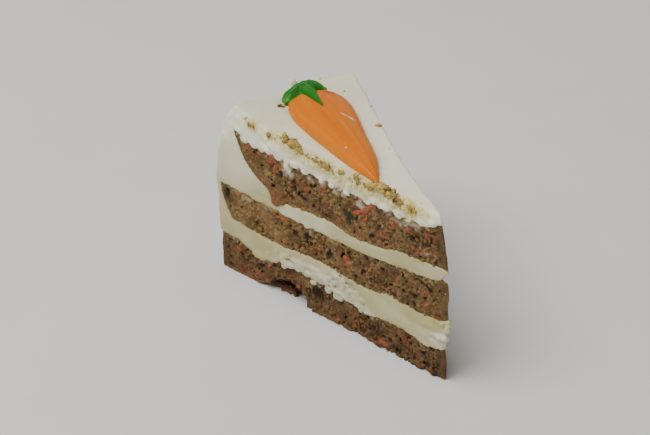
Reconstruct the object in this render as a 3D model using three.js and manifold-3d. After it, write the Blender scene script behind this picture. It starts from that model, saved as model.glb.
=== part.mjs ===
// A slice of carrot cake: three sponge layers, two cream fillings, a cream coat over the top and down the
// rim, and a carrot with a green leaf piped on top.
// Millimetres, +Z up. The slice's tip points to -Y and its rim to +Y.
// A place on the slice is (radius, side, height): radius from the whole cake's middle, side from -1 on the
// left cut face to 1 on the right one, and height above the base.
import * as THREE from "three";
import { ImprovedNoise } from "three/addons/math/ImprovedNoise.js";
import { mergeVertices } from "three/addons/utils/BufferGeometryUtils.js";
import Module from "manifold-3d";

const { clamp, degToRad, lerp, smoothstep } = THREE.MathUtils;

// ---- Driving dimensions ----
const HALF_ANGLE = degToRad(15); // a twelfth of a whole cake
const SPONGE_RADIUS = 121.4;
const HEIGHT = 76; // of the frosting's top
const TOP_RADIUS = 117.2; // of the frosting's top
const CORNER_RISE = 4.8; // how far the frosting stands up at the left end of the rim
const CORNER_DRAFT = 0.55; // how far the rim draws in there for each millimetre of that rise
const SHOULDER = 3; // the rounding of its top edge at the rim
const TIP_HALF_WIDTH = 0.4; // the knife leaves the tip a little blunt
const TIP_ROUGHNESS = 0.5;
const RIM_BULGE = 0.65; // 1 is a true circle's arc; the rim is a little flatter
const CUT_HOLLOW = 0.8; // how far the cut faces curve in at mid radius
const LEAN = 2.7; // how far the top edge of the right cut face leans in over the tip half
const SAG = 0.5; // how far the layers rise and fall together
const SWELL = 1.3; // how far each layer's own height drifts towards the right cut face
const GAP = 0.3; // between pieces that touch

// ---- Surface cells ----
const CELLS_ACROSS = 6;
const CELLS_ALONG = 40;

// ---- Curves and noise ----

/** A smooth curve through a few [position, value] knots, level beyond both ends. */
function through(...knots) {
  const positions = knots.map(([position]) => position);
  const values = knots.map(([, value]) => value);
  const curve = new THREE.CubicInterpolant(positions, values, 1);
  return (position) => curve.evaluate(position)[0];
}

const perlin = new ImprovedNoise();

/** Noise from about -1 to 1 in bumps about `size` wide; each `seed` is another pattern. */
function noise({ x, y, z }, size, seed) {
  return perlin.noise(x / size + 7.3 * seed, y / size, z / size);
}

/** A bell of height 1 round `middle`. */
function bell(position, middle, spread) {
  return Math.exp(-(((position - middle) / spread) ** 2));
}

/** `count` + 1 numbers evenly spaced from `from` to `to`. */
function spaced(from, to, count) {
  return Array.from({ length: count + 1 }, (_, i) => lerp(from, to, i / count));
}

// ---- Heights of the surfaces where two pieces meet, and of the top ----

/** A height that follows `profile` at the tip and on the left cut face, and drifts off it to the right. */
function uneven(seed, profile) {
  return (radius, side) => {
    const drift = SWELL * perlin.noise(radius / 24, 1.3 * side, seed + 0.5);
    return profile(radius) + 0.5 * (1 + side) * drift * smoothstep(radius, 0, 45);
  };
}

const base = () => 0;
const bottomSpongeTop = uneven(
  1,
  through([0, 15], [8, 12.8], [22, 14.2], [36, 13.6], [44, 12.2], [60, 15.2], [92, 15.6], [100, 14], [110, 17]),
);
const lowerFillingTop = uneven(2, through([0, 30], [10, 27.9], [28, 27.3], [45, 25.6], [60, 25.4], [90, 26]));
const middleSpongeTop = uneven(3, through([0, 47], [10, 44.6], [25, 42.8], [40, 41], [70, 40.2], [120, 42]));
const upperFillingTop = uneven(4, through([0, 52], [15, 50.6], [30, 49.2], [45, 47.8], [70, 47], [90, 45.2]));
const topSpongeTop = uneven(5, through([5, 71], [13, 68.4], [25, 67], [60, 65.8], [90, 66.8], [113, 69.2]));
const spreadFrosting = uneven(6, through([5, 75], [20, 74.6], [50, 74.2], [80, 75], [104, 76.8], [115, 77.4]));

/** How far the frosting stands up towards the left end of the rim. */
function corner(radius, side) {
  return CORNER_RISE * smoothstep(radius, 90, 117) * smoothstep(-side, 0, 1.1);
}

function frostingTop(radius, side) {
  return spreadFrosting(radius, side) + corner(radius, side);
}

/** The radius at which the frosting's top ends at a side. */
function topRadius(side) {
  return TOP_RADIUS - CORNER_DRAFT * corner(TOP_RADIUS, side);
}

/** The frosting's height, rounded off over the rim. */
function roundedTop(radius, side) {
  const over = clamp((radius - topRadius(side)) / SHOULDER + 1, 0, 1);
  return frostingTop(radius, side) - SHOULDER * (1 - Math.sqrt(1 - over * over));
}

// ---- Radii against the height, at the tip and at the rims ----
const tip = through(
  [0, 1], [8, 0.4], [14, 2], [20, 1], [29, -1], [36, 0.4], [44, 0.8], [51, 1], [60, 2.4], [70, 5], [75, 6.4],
);
const bottomSpongeRim = through([0, SPONGE_RADIUS - 2.6], [2, SPONGE_RADIUS - 0.7], [7, SPONGE_RADIUS]);
const lowerFillingRim = () => SPONGE_RADIUS - 1.6;
const middleSpongeRim = through([26, 114.4], [31, 117.2], [36, 119.7], [42, SPONGE_RADIUS]);
const upperFillingRim = () => SPONGE_RADIUS - 1.2;
const topSpongeRim = through([45, 91], [49, 95], [53, 102], [57, 106.6], [62, 109.8], [69, 112.8]);
const coatRim = through([18, 122.2], [30, 123], [45, 124.2], [56, 122.4], [68, 119.4], [74, 117.2], [79, 114.8]);

// ---- Placing points on the slice ----

/** Half the slice's width at a radius, square to its middle line, before the right face leans in. */
function halfWidth(radius) {
  const reached = clamp(radius, 0, SPONGE_RADIUS);
  const hollow = CUT_HOLLOW * Math.sin((Math.PI * reached) / SPONGE_RADIUS);
  return TIP_HALF_WIDTH + reached * Math.sin(HALF_ANGLE) - hollow;
}

/** How far the right cut face leans in: less towards the rim, and never past the slice's own width. */
function lean(radius, height) {
  const fade = 1 - smoothstep(radius, 35, 108);
  return Math.min(LEAN * fade * clamp(height / HEIGHT, 0, 1), 1.4 * halfWidth(radius));
}

/** How far along the middle line one millimetre of radius reaches. */
function reach(side) {
  return Math.cos(HALF_ANGLE) + RIM_BULGE * (1 - Math.cos(HALF_ANGLE)) * (1 - side * side);
}

/** The rise and fall that all the layers share; the base stays flat. */
function sag(x, y, height) {
  return SAG * noise({ x, y, z: 0 }, 26, 0) * smoothstep(height, 0, 14);
}

/** The point at (radius, side, height), `out` millimetres outside the nearer cut face. */
function onSlice(radius, side, height, out = 0) {
  const leaning = lean(radius, height) / 2;
  const half = halfWidth(radius) - leaning;
  const x = side * Math.max(half + out, 0.5 * half) - leaning;
  const y = radius * reach(side);
  return new THREE.Vector3(x, y, height + sag(x, y, height));
}

/** The frosting's height under a point of the plan. */
function topHeightAt(x, y) {
  const leaning = lean(y, HEIGHT) / 2;
  const side = clamp((x + leaning) / (halfWidth(y) - leaning), -1, 1);
  const radius = y / reach(side);
  return onSlice(radius, side, roundedTop(radius, side)).z;
}

// ---- Relief of the cut faces, in millimetres outside the knife's plane ----

/** A point of a cut face, for noise that differs between the two faces. */
function onFace(radius, side, height) {
  return { x: radius, y: height, z: 40 * Math.sign(side) };
}

/** Crumbs that stand out of a cut sponge, and the holes that the knife has torn. */
function crumbs(seed) {
  return (radius, side, height) => {
    const place = onFace(radius, side, height);
    const holes = Math.max(0, noise(place, 9, seed + 2) - 0.3);
    return 1.1 * noise(place, 7, seed) + 0.5 * noise(place, 3.7, seed + 1) - 5 * holes;
  };
}

/** The left face's foot is torn: it draws back under the rim half, with one deep notch. */
function tornFoot(radius, side, height) {
  const low = side < 0 ? 1 - smoothstep(height, 1, 8) : 0;
  const tear = 2.2 * bell(radius, 84, 13) + 5.5 * bell(radius, 77.5, 3.2);
  return crumbs(11)(radius, side, height) - low * tear;
}

/** The lower filling bulges a little, and is rough where the knife dragged it. */
function draggedCream(radius, side, height) {
  const place = onFace(radius, side, height);
  const rough = bell(radius, 66, 22) + bell(radius, 0, 9);
  return 0.5 + (0.3 + 1.1 * rough) * noise(place, 4.2, 31) + 0.6 * noise(place, 17, 32);
}

/** Cream that the knife left smooth. */
function smoothCream(radius, side, height) {
  return 0.1 + 0.4 * noise(onFace(radius, side, height), 15, 41);
}

// ---- The five layers, from the base up ----
const bottomSponge = {
  bottom: base,
  top: bottomSpongeTop,
  rim: bottomSpongeRim,
  relief: tornFoot,
  cellsUp: 5,
};
const lowerFilling = {
  bottom: bottomSpongeTop,
  top: lowerFillingTop,
  rim: lowerFillingRim,
  relief: draggedCream,
  cellsUp: 3,
};
const middleSponge = {
  bottom: lowerFillingTop,
  top: middleSpongeTop,
  rim: middleSpongeRim,
  relief: crumbs(14),
  cellsUp: 5,
};
const upperFilling = {
  bottom: middleSpongeTop,
  top: upperFillingTop,
  rim: upperFillingRim,
  relief: smoothCream,
  cellsUp: 3,
};
const topSponge = {
  bottom: upperFillingTop,
  top: topSpongeTop,
  rim: topSpongeRim,
  relief: crumbs(17),
  cellsUp: 6,
};

/** The [radius, height] a share `along` of the way from the tip to the rim, and `up` of the way up. */
function inLayer({ bottom, top, rim }, side, along, up) {
  const tipHeight = lerp(bottom(0, side), top(0, side), up);
  const rimHeight = lerp(bottom(SPONGE_RADIUS, side), top(SPONGE_RADIUS, side), up);
  const tipRadius = tip(tipHeight) + TIP_ROUGHNESS * noise({ x: 60 * side, y: 0, z: tipHeight }, 3.3, 8);
  const radius = lerp(tipRadius, rim(rimHeight), along);
  const low = bottom(radius, side) + (bottom === base ? 0 : GAP / 2);
  const high = top(radius, side) - GAP / 2;
  return [radius, lerp(low, high, up)];
}

/** A layer's solid: a box's surface lattice laid over the layer. */
function layerGeometry(layer) {
  const geometry = new THREE.BoxGeometry(1, 1, 1, CELLS_ACROSS, CELLS_ALONG, layer.cellsUp);
  geometry.deleteAttribute("normal");
  geometry.deleteAttribute("uv");
  const lattice = geometry.getAttribute("position");
  for (let i = 0; i < lattice.count; i++) {
    const side = 2 * lattice.getX(i);
    const [radius, height] = inLayer(layer, side, lattice.getY(i) + 0.5, lattice.getZ(i) + 0.5);
    const point = onSlice(radius, side, height, layer.relief(radius, side, height));
    lattice.setXYZ(i, point.x, point.y, point.z);
  }
  return mergeVertices(geometry, 1e-4);
}

// ---- The frosting ----

/** A layer's rim as the frosting meets it, from the layer's top down to its foot. */
function againstRim(layer, side) {
  const rim = spaced(1, 0, layer.cellsUp).map((up) => inLayer(layer, side, 1, up));
  return rim.map(([radius, height]) => [radius + GAP, height]);
}

/** The frosting's outline at a side, in [radius, height] pairs: up the rim, in over the top, back under. */
function frostingOutline(side) {
  const foot = bottomSpongeTop(SPONGE_RADIUS, side) + GAP;
  const rim = topRadius(side);
  const shoulderFoot = frostingTop(rim, side) - SHOULDER;
  const coat = spaced(foot, shoulderFoot, 14);
  const shoulder = spaced(0, Math.PI / 2, 5).map((angle) => rim - SHOULDER * (1 - Math.cos(angle)));
  const top = spaced(rim - SHOULDER, tip(75), 36);
  const under = spaced(tip(70), TOP_RADIUS - SHOULDER, 36);
  const overFilling = spaced(topSpongeRim(45) + 2, upperFillingRim() + GAP, 6);
  return [
    ...coat.map((height) => [coatRim(height), height]),
    ...[...shoulder.slice(1), ...top.slice(1)].map((radius) => [radius, roundedTop(radius, side)]),
    ...under.map((radius) => [radius, topSpongeTop(radius, side) + GAP / 2]),
    ...againstRim(topSponge, side),
    ...overFilling.map((radius) => [radius, upperFillingTop(radius, side) + GAP / 2]),
    ...againstRim(upperFilling, side),
    ...againstRim(middleSponge, side),
    ...againstRim(lowerFilling, side),
  ];
}

/** The triangles that close the frosting at a side, as places in its outline there. */
function endTriangles(side) {
  const outline = frostingOutline(side).map(([radius, height]) => new THREE.Vector2(radius, height));
  return THREE.ShapeUtils.triangulateShape(outline, []);
}

/** The frosting's solid: its outline carried from the left cut face to the right one. */
function frostingGeometry() {
  const positions = [];
  for (const side of spaced(-1, 1, CELLS_ACROSS)) {
    for (const [radius, height] of frostingOutline(side)) {
      positions.push(...onSlice(radius, side, height, smoothCream(radius, side, height)).toArray());
    }
  }
  const leftEnd = endTriangles(-1);
  const rightEnd = endTriangles(1);
  const size = frostingOutline(-1).length;
  const last = CELLS_ACROSS * size;
  const faces = [];
  for (const [a, b, c] of leftEnd) faces.push(a, c, b);
  for (const [a, b, c] of rightEnd) faces.push(last + a, last + b, last + c);
  for (let row = 0; row < last; row += size) {
    for (let i = 0; i < size; i++) {
      const next = (i + 1) % size;
      faces.push(row + i, row + next, row + size + i, row + next, row + size + next, row + size + i);
    }
  }
  const geometry = new THREE.BufferGeometry();
  geometry.setAttribute("position", new THREE.Float32BufferAttribute(positions, 3));
  geometry.setIndex(faces);
  return geometry;
}

// ---- Piped icing ----

/**
 * A stroke of icing piped on the frosting: a sphere whose poles are drawn out to the stroke's two ends, whose
 * lower half lies flat on the frosting and whose upper half is the dome. `wide`, `bend` and `height` are
 * curves along the stroke from 0 to 1: half its width, its bend to the right and its height. `grow` makes it
 * larger all round, and `sink` lets its underside down into the frosting.
 */
function stroke({ from, to, wide, bend, height, cells, lift }, grow = 0, sink = 0) {
  const start = new THREE.Vector2(...from);
  const way = new THREE.Vector2(...to).sub(start);
  const stretch = 1 + (2 * grow) / way.length();
  const right = new THREE.Vector2(way.y, -way.x).normalize();
  const geometry = new THREE.SphereGeometry(1, ...cells);
  geometry.deleteAttribute("normal");
  geometry.deleteAttribute("uv");
  const ball = geometry.getAttribute("position");
  for (let i = 0; i < ball.count; i++) {
    const along = clamp(0.5 + 0.5 * ball.getY(i), 0, 1);
    const ring = Math.max(Math.hypot(ball.getX(i), ball.getZ(i)), 1e-9);
    const aside = bend(along) + ((wide(along) + grow) * ball.getX(i)) / ring;
    const place = start.clone().addScaledVector(way, 0.5 + (along - 0.5) * stretch);
    place.addScaledVector(right, aside);
    const upwards = ball.getZ(i) / ring;
    const rise = upwards > 0 ? (height(along) + grow) * upwards ** 0.85 : -sink;
    ball.setXYZ(i, place.x, place.y, topHeightAt(place.x, place.y) + lift + rise);
  }
  return mergeVertices(geometry, 1e-4);
}

/** Turns a closed geometry into manifold-3d's solid. */
function solidOf(geometry) {
  const vertProperties = new Float32Array(geometry.getAttribute("position").array);
  const triVerts = new Uint32Array(geometry.getIndex().array);
  return new wasm.Manifold(new wasm.Mesh({ numProp: 3, vertProperties, triVerts }));
}

/** Turns manifold-3d's solid into a geometry. */
function geometryOf(solid) {
  const { vertProperties, numProp, triVerts } = solid.getMesh();
  const geometry = new THREE.BufferGeometry();
  geometry.setAttribute("position", new THREE.BufferAttribute(vertProperties, numProp));
  geometry.setIndex(new THREE.BufferAttribute(triVerts, 1));
  return geometry;
}

const carrotStroke = {
  from: [-7.6, 38],
  to: [3.4, 107.6],
  wide: through(
    [0, 0.3], [0.07, 2.2], [0.17, 4.9], [0.48, 9.6], [0.64, 11.8], [0.78, 12.9], [0.87, 11.8], [0.94, 8.6], [1, 0.3],
  ),
  bend: through([0, 0], [0.17, 0.9], [0.5, 0.9], [1, 0.8]),
  height: through([0, 0.6], [0.07, 2.2], [0.2, 4], [0.55, 5.4], [0.8, 4.8], [0.92, 3.6], [1, 1]),
  cells: [32, 28],
  lift: GAP,
};

const leafLobes = [
  {
    from: [8, 110.8],
    to: [-8, 103.4],
    wide: through([0, 1], [0.15, 2.9], [0.5, 3.3], [0.85, 3.3], [0.96, 2.2], [1, 0.4]),
    bend: through([0, 0], [0.5, 0.6], [1, 0]),
    height: through([0, 3], [0.5, 3.7], [0.85, 3.2], [1, 1.5]),
    cells: [16, 14],
    lift: GAP,
  },
  {
    from: [6.2, 113],
    to: [0.4, 89.2],
    wide: through([0, 0.6], [0.12, 3.4], [0.35, 4], [0.6, 2.8], [0.85, 1.3], [1, 0.2]),
    bend: through([0, 0], [0.5, 0.9], [1, 0]),
    height: through([0, 1.6], [0.25, 3.8], [0.6, 6.2], [0.85, 6.7], [1, 5.8]),
    cells: [16, 16],
    lift: GAP + 0.2,
  },
  {
    from: [5, 111.6],
    to: [12, 104.4],
    wide: through([0, 0.6], [0.3, 2.7], [0.7, 1.8], [1, 0.3]),
    bend: through([0, 0], [0.5, -0.8], [1, 0]),
    height: through([0, 2.6], [0.5, 3], [1, 1.4]),
    cells: [12, 10],
    lift: GAP + 0.4,
  },
];

const wasm = await Module();
wasm.setup();

/** The leaf's three lobes joined. */
function leafSolid(grow, sink) {
  const lobes = leafLobes.map((lobe) => solidOf(stroke(lobe, grow, sink)));
  return lobes.reduce((joined, lobe) => joined.add(lobe));
}

/** The carrot, with a bed for the leaf in its head. */
function carrotSolid() {
  return solidOf(stroke(carrotStroke)).subtract(leafSolid(GAP, 2));
}

// ---- The slice ----

/** A mesh of one piece. */
function piece(name, geometry, color, roughness) {
  geometry.computeVertexNormals();
  const mesh = new THREE.Mesh(geometry, new THREE.MeshStandardMaterial({ color, roughness, metalness: 0 }));
  mesh.name = name;
  return mesh;
}

const slice = new THREE.Group();
slice.add(
  piece("sponge_bottom", layerGeometry(bottomSponge), "#7a5230", 0.95),
  piece("filling_lower", layerGeometry(lowerFilling), "#d9d4b4", 0.6),
  piece("sponge_middle", layerGeometry(middleSponge), "#7f5f3a", 0.95),
  piece("filling_upper", layerGeometry(upperFilling), "#d6d1ae", 0.6),
  piece("sponge_top", layerGeometry(topSponge), "#80603a", 0.95),
  piece("frosting", frostingGeometry(), "#e6e2d2", 0.6),
  piece("carrot", geometryOf(carrotSolid()), "#e0842f", 0.25),
  piece("leaf", geometryOf(leafSolid()), "#3f8f2c", 0.25),
);

// The part's origin is under the middle of the slice's box, on the base.
const box = new THREE.Box3().setFromObject(slice, true);
const middle = box.getCenter(new THREE.Vector3());
slice.position.set(-middle.x, -middle.y, -box.min.z);

const cake = new THREE.Group();
cake.add(slice);

export default cake;
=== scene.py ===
"""The looks of a slice of carrot cake: crumb, cream, piped icing, crumbs, floor, light and camera.

Shapes are worked out in millimetres in the slice's own plan, with the wedge's apex at the origin and the rim
towards +Y, and put into the frame in metres when a mesh is made. A place on the slice is (radius, side,
height), as in the part: side runs from -1 on the left cut face to 1 on the right one.
"""

import math

import bpy
import numpy as np
import openvdb
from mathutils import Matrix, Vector


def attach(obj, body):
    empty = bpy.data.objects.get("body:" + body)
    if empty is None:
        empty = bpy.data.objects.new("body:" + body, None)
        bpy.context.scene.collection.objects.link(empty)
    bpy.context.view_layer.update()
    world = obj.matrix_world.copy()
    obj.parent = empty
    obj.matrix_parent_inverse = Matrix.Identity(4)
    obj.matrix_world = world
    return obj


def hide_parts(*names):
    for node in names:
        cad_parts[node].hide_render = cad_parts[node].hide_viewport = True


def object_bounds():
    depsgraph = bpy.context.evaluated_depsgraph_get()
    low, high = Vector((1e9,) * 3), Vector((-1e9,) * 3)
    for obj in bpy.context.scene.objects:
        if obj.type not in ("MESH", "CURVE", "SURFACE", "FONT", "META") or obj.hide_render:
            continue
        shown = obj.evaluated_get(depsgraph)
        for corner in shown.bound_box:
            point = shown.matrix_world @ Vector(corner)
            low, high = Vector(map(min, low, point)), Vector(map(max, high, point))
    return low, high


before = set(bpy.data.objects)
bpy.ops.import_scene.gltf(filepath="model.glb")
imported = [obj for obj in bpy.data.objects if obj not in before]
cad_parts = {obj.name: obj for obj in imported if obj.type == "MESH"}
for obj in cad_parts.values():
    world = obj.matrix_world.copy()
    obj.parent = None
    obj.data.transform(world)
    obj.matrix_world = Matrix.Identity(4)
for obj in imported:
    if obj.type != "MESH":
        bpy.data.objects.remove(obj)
cad_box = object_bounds()

MM = 0.001
TIP_BULGE = 0.97  # how far the lower filling stands out past the wedge's apex
APEX_ASIDE = 0.07  # the apex is this far from the middle of the part's box
APEX = np.array([APEX_ASIDE, cad_box[0][1] / MM + TIP_BULGE, 0.0])
COARSER = 1
VOXEL = 0.4 * COARSER  # the cells' size in the grids that the pieces are cut from

# ---- The slice's driving dimensions, as in the part ----
HALF_ANGLE = math.radians(15)
SLANT = math.cos(HALF_ANGLE)
SPONGE_RADIUS = 121.4
HEIGHT = 76.0
TOP_RADIUS = 117.2
CORNER_RISE = 4.8
CORNER_DRAFT = 0.55
SHOULDER = 3.0
TIP_HALF_WIDTH = 0.4
RIM_BULGE = 0.65
CUT_HOLLOW = 0.8
LEAN = 2.7
SAG = 0.5
SWELL = 1.3
OVERLAP = 0.12  # how far each piece reaches into its neighbour, so that no gap shows

LEFT = -1.0
RIGHT = 1.0

random = np.random.default_rng(7)


# ---- Curves ----


def through(*knots):
    """A smooth curve through a few (position, value) knots, level beyond both ends."""
    at = np.array([k[0] for k in knots], float)
    value = np.array([k[1] for k in knots], float)
    slope = np.gradient(value, at)
    place = np.linspace(at[0], at[-1], 300)
    i = np.clip(np.searchsorted(at, place, side="right") - 1, 0, len(at) - 2)
    width = at[i + 1] - at[i]
    t = (place - at[i]) / width
    curve = (
        (2 * t**3 - 3 * t**2 + 1) * value[i]
        + (t**3 - 2 * t**2 + t) * width * slope[i]
        + (-2 * t**3 + 3 * t**2) * value[i + 1]
        + (t**3 - t**2) * width * slope[i + 1]
    )
    return lambda position: np.interp(position, place, curve).astype(np.float32)


def smoothstep(value, low, high):
    t = np.clip((value - low) / (high - low), 0, 1)
    return t * t * (3 - 2 * t)


def bell(position, middle, spread):
    return np.exp(-(((position - middle) / spread) ** 2))


def smooth_min(a, b, blend):
    blend = np.maximum(blend, 1e-6)
    mix = np.clip(0.5 + 0.5 * (b - a) / blend, 0, 1)
    return b + (a - b) * mix - blend * mix * (1 - mix)


def smooth_max(a, b, blend):
    return -smooth_min(-a, -b, blend)


# ---- Heights of the surfaces where two pieces meet, and of the top ----


def uneven(seed, profile):
    """A height that follows `profile` at the tip and the left cut face, and drifts off it to the right."""

    def height(radius, side):
        drift = 0.4 * SWELL * np.sin(radius / 11 + 2.1 * seed + side)
        return profile(radius) + 0.5 * (1 + side) * drift * smoothstep(radius, 0, 45)

    return height


bottom_sponge_top = uneven(
    1,
    through(
        (0, 15), (8, 12.8), (22, 14.2), (36, 13.8), (44, 13.0), (50, 14.6), (60, 15.2), (92, 15.6),
        (100, 13.8), (110, 16.8), (121, 18),
    ),
)
lower_filling_top = uneven(
    2,
    through(
        (0, 29.5), (2.5, 27.6), (7, 27), (12, 26.5), (22, 26.2), (26, 26.3), (29.5, 27.3), (35, 25.8),
        (40, 25), (57, 25), (67, 26), (82, 24.9), (104, 25.1), (115, 26.4),
    ),
)
middle_sponge_top = uneven(3, through((0, 47), (10, 44.6), (25, 42.8), (40, 41), (70, 40.2), (120, 42)))
upper_filling_top = uneven(
    4,
    through(
        (0, 52), (15, 50.6), (28, 49.3), (33, 47.9), (38, 46.9), (43, 46.4), (49, 46), (54, 46.4), (64, 47.4),
        (72, 47), (90, 45.2),
    ),
)
top_sponge_top = uneven(5, through((5, 71), (13, 68.4), (25, 67), (60, 65.8), (90, 66.8), (113, 70.2)))
spread_frosting = uneven(6, through((5, 75), (20, 74.6), (50, 74.2), (80, 75), (104, 76.8), (115, 77.4)))


def flat_base(radius, side):
    return np.full_like(radius, 0.6)


def corner(radius, side):
    """How far the frosting stands up towards the left end of the rim."""
    return CORNER_RISE * smoothstep(radius, 90, 117) * smoothstep(-side, 0, 1.1)


def frosting_top(radius, side):
    return spread_frosting(radius, side) + corner(radius, side)


def rounded_top(radius, side):
    """The frosting's height, rounded off over the rim."""
    top_radius = TOP_RADIUS - CORNER_DRAFT * corner(TOP_RADIUS, side)
    over = np.clip((radius - top_radius) / SHOULDER + 1, 0, 1)
    return frosting_top(radius, side) - SHOULDER * (1 - np.sqrt(1 - over * over))


# ---- Radii against the height ----
tip = through(
    (0, 1), (8, 0.4), (14, 2), (20, 1), (29, -1), (35, 0.2), (40, -0.4), (43, -0.2), (47, 1), (51, 1),
    (60, 2.4), (70, 5), (75, 6.4),
)
bottom_sponge_rim = through((0, SPONGE_RADIUS - 0.6), (2, SPONGE_RADIUS - 0.2), (7, SPONGE_RADIUS))
lower_filling_rim = through((0, SPONGE_RADIUS - 1.6), (76, SPONGE_RADIUS - 1.6))
middle_sponge_rim = through((26, 115.2), (31, 118), (36, 120.3), (42, SPONGE_RADIUS))
upper_filling_rim = through((0, SPONGE_RADIUS - 1.2), (76, SPONGE_RADIUS - 1.2))
top_sponge_rim = through((45, 91), (49, 95), (53, 102), (57, 106.6), (62, 109.8), (70, 113.4))
coat_rim = through((18, 122.2), (30, 123), (45, 124.2), (56, 122.4), (68, 119.4), (74, 117.2), (79, 114.8))


# ---- Placing points on the slice ----


def half_width(radius):
    reached = np.clip(radius, 0, SPONGE_RADIUS)
    hollow = CUT_HOLLOW * np.sin(np.pi * reached / SPONGE_RADIUS)
    return TIP_HALF_WIDTH + reached * math.sin(HALF_ANGLE) - hollow


def lean(radius, height):
    fade = 1 - smoothstep(radius, 35, 108)
    return np.minimum(LEAN * fade * np.clip(height / HEIGHT, 0, 1), 1.4 * half_width(radius))


def reach(side):
    return SLANT + RIM_BULGE * (1 - SLANT) * (1 - side * side)


def sag(x, y, height):
    swing = np.sin(x / 13 + 0.6) * np.sin(y / 17 + 1.1)
    return 0.5 * SAG * swing * smoothstep(height, 0, 14)


def on_slice(radius, side, height, out=0.0):
    """The point at (radius, side, height), `out` millimetres outside the nearer cut face."""
    radius, side, height = np.broadcast_arrays(*(np.asarray(v, float) for v in (radius, side, height)))
    leaning = lean(radius, height) / 2
    half = half_width(radius) - leaning
    x = side * np.maximum(half + out, 0.3 * half) - leaning
    y = radius * reach(side)
    return np.stack([x, y, height + sag(x, y, height)], axis=-1)


def top_height(x, y):
    """The frosting's height under a point of the plan."""
    leaning = lean(y, HEIGHT) / 2
    side = np.clip((x + leaning) / (half_width(y) - leaning), -1, 1)
    radius = y / reach(side)
    return rounded_top(radius, side) + sag(x, y, HEIGHT)


# ---- Solids cut from a grid of distances ----

CAKE_LOW = np.array([-42.0, -14.0, -8.0])
CAKE_HIGH = np.array([42.0, 136.0, 96.0])
FAR = 3.0  # distances are clipped to this many millimetres
LATTICE_SHARE = 0.55  # a noise lattice's step, as a share of the width of its bumps
NOISE_GAIN = 1.25


def spline(position, size, low):
    """The first of the four lattice points that a cubic B-spline needs along one axis, and their weights."""
    place = (position - low) / size
    cell = np.floor(place).astype(int)
    t = (place - cell).astype(np.float32)
    weights = ((1 - t) ** 3, 3 * t**3 - 6 * t**2 + 4, -3 * t**3 + 3 * t**2 + 3 * t + 1, t**3)
    return cell, np.stack(weights) / 6


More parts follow.
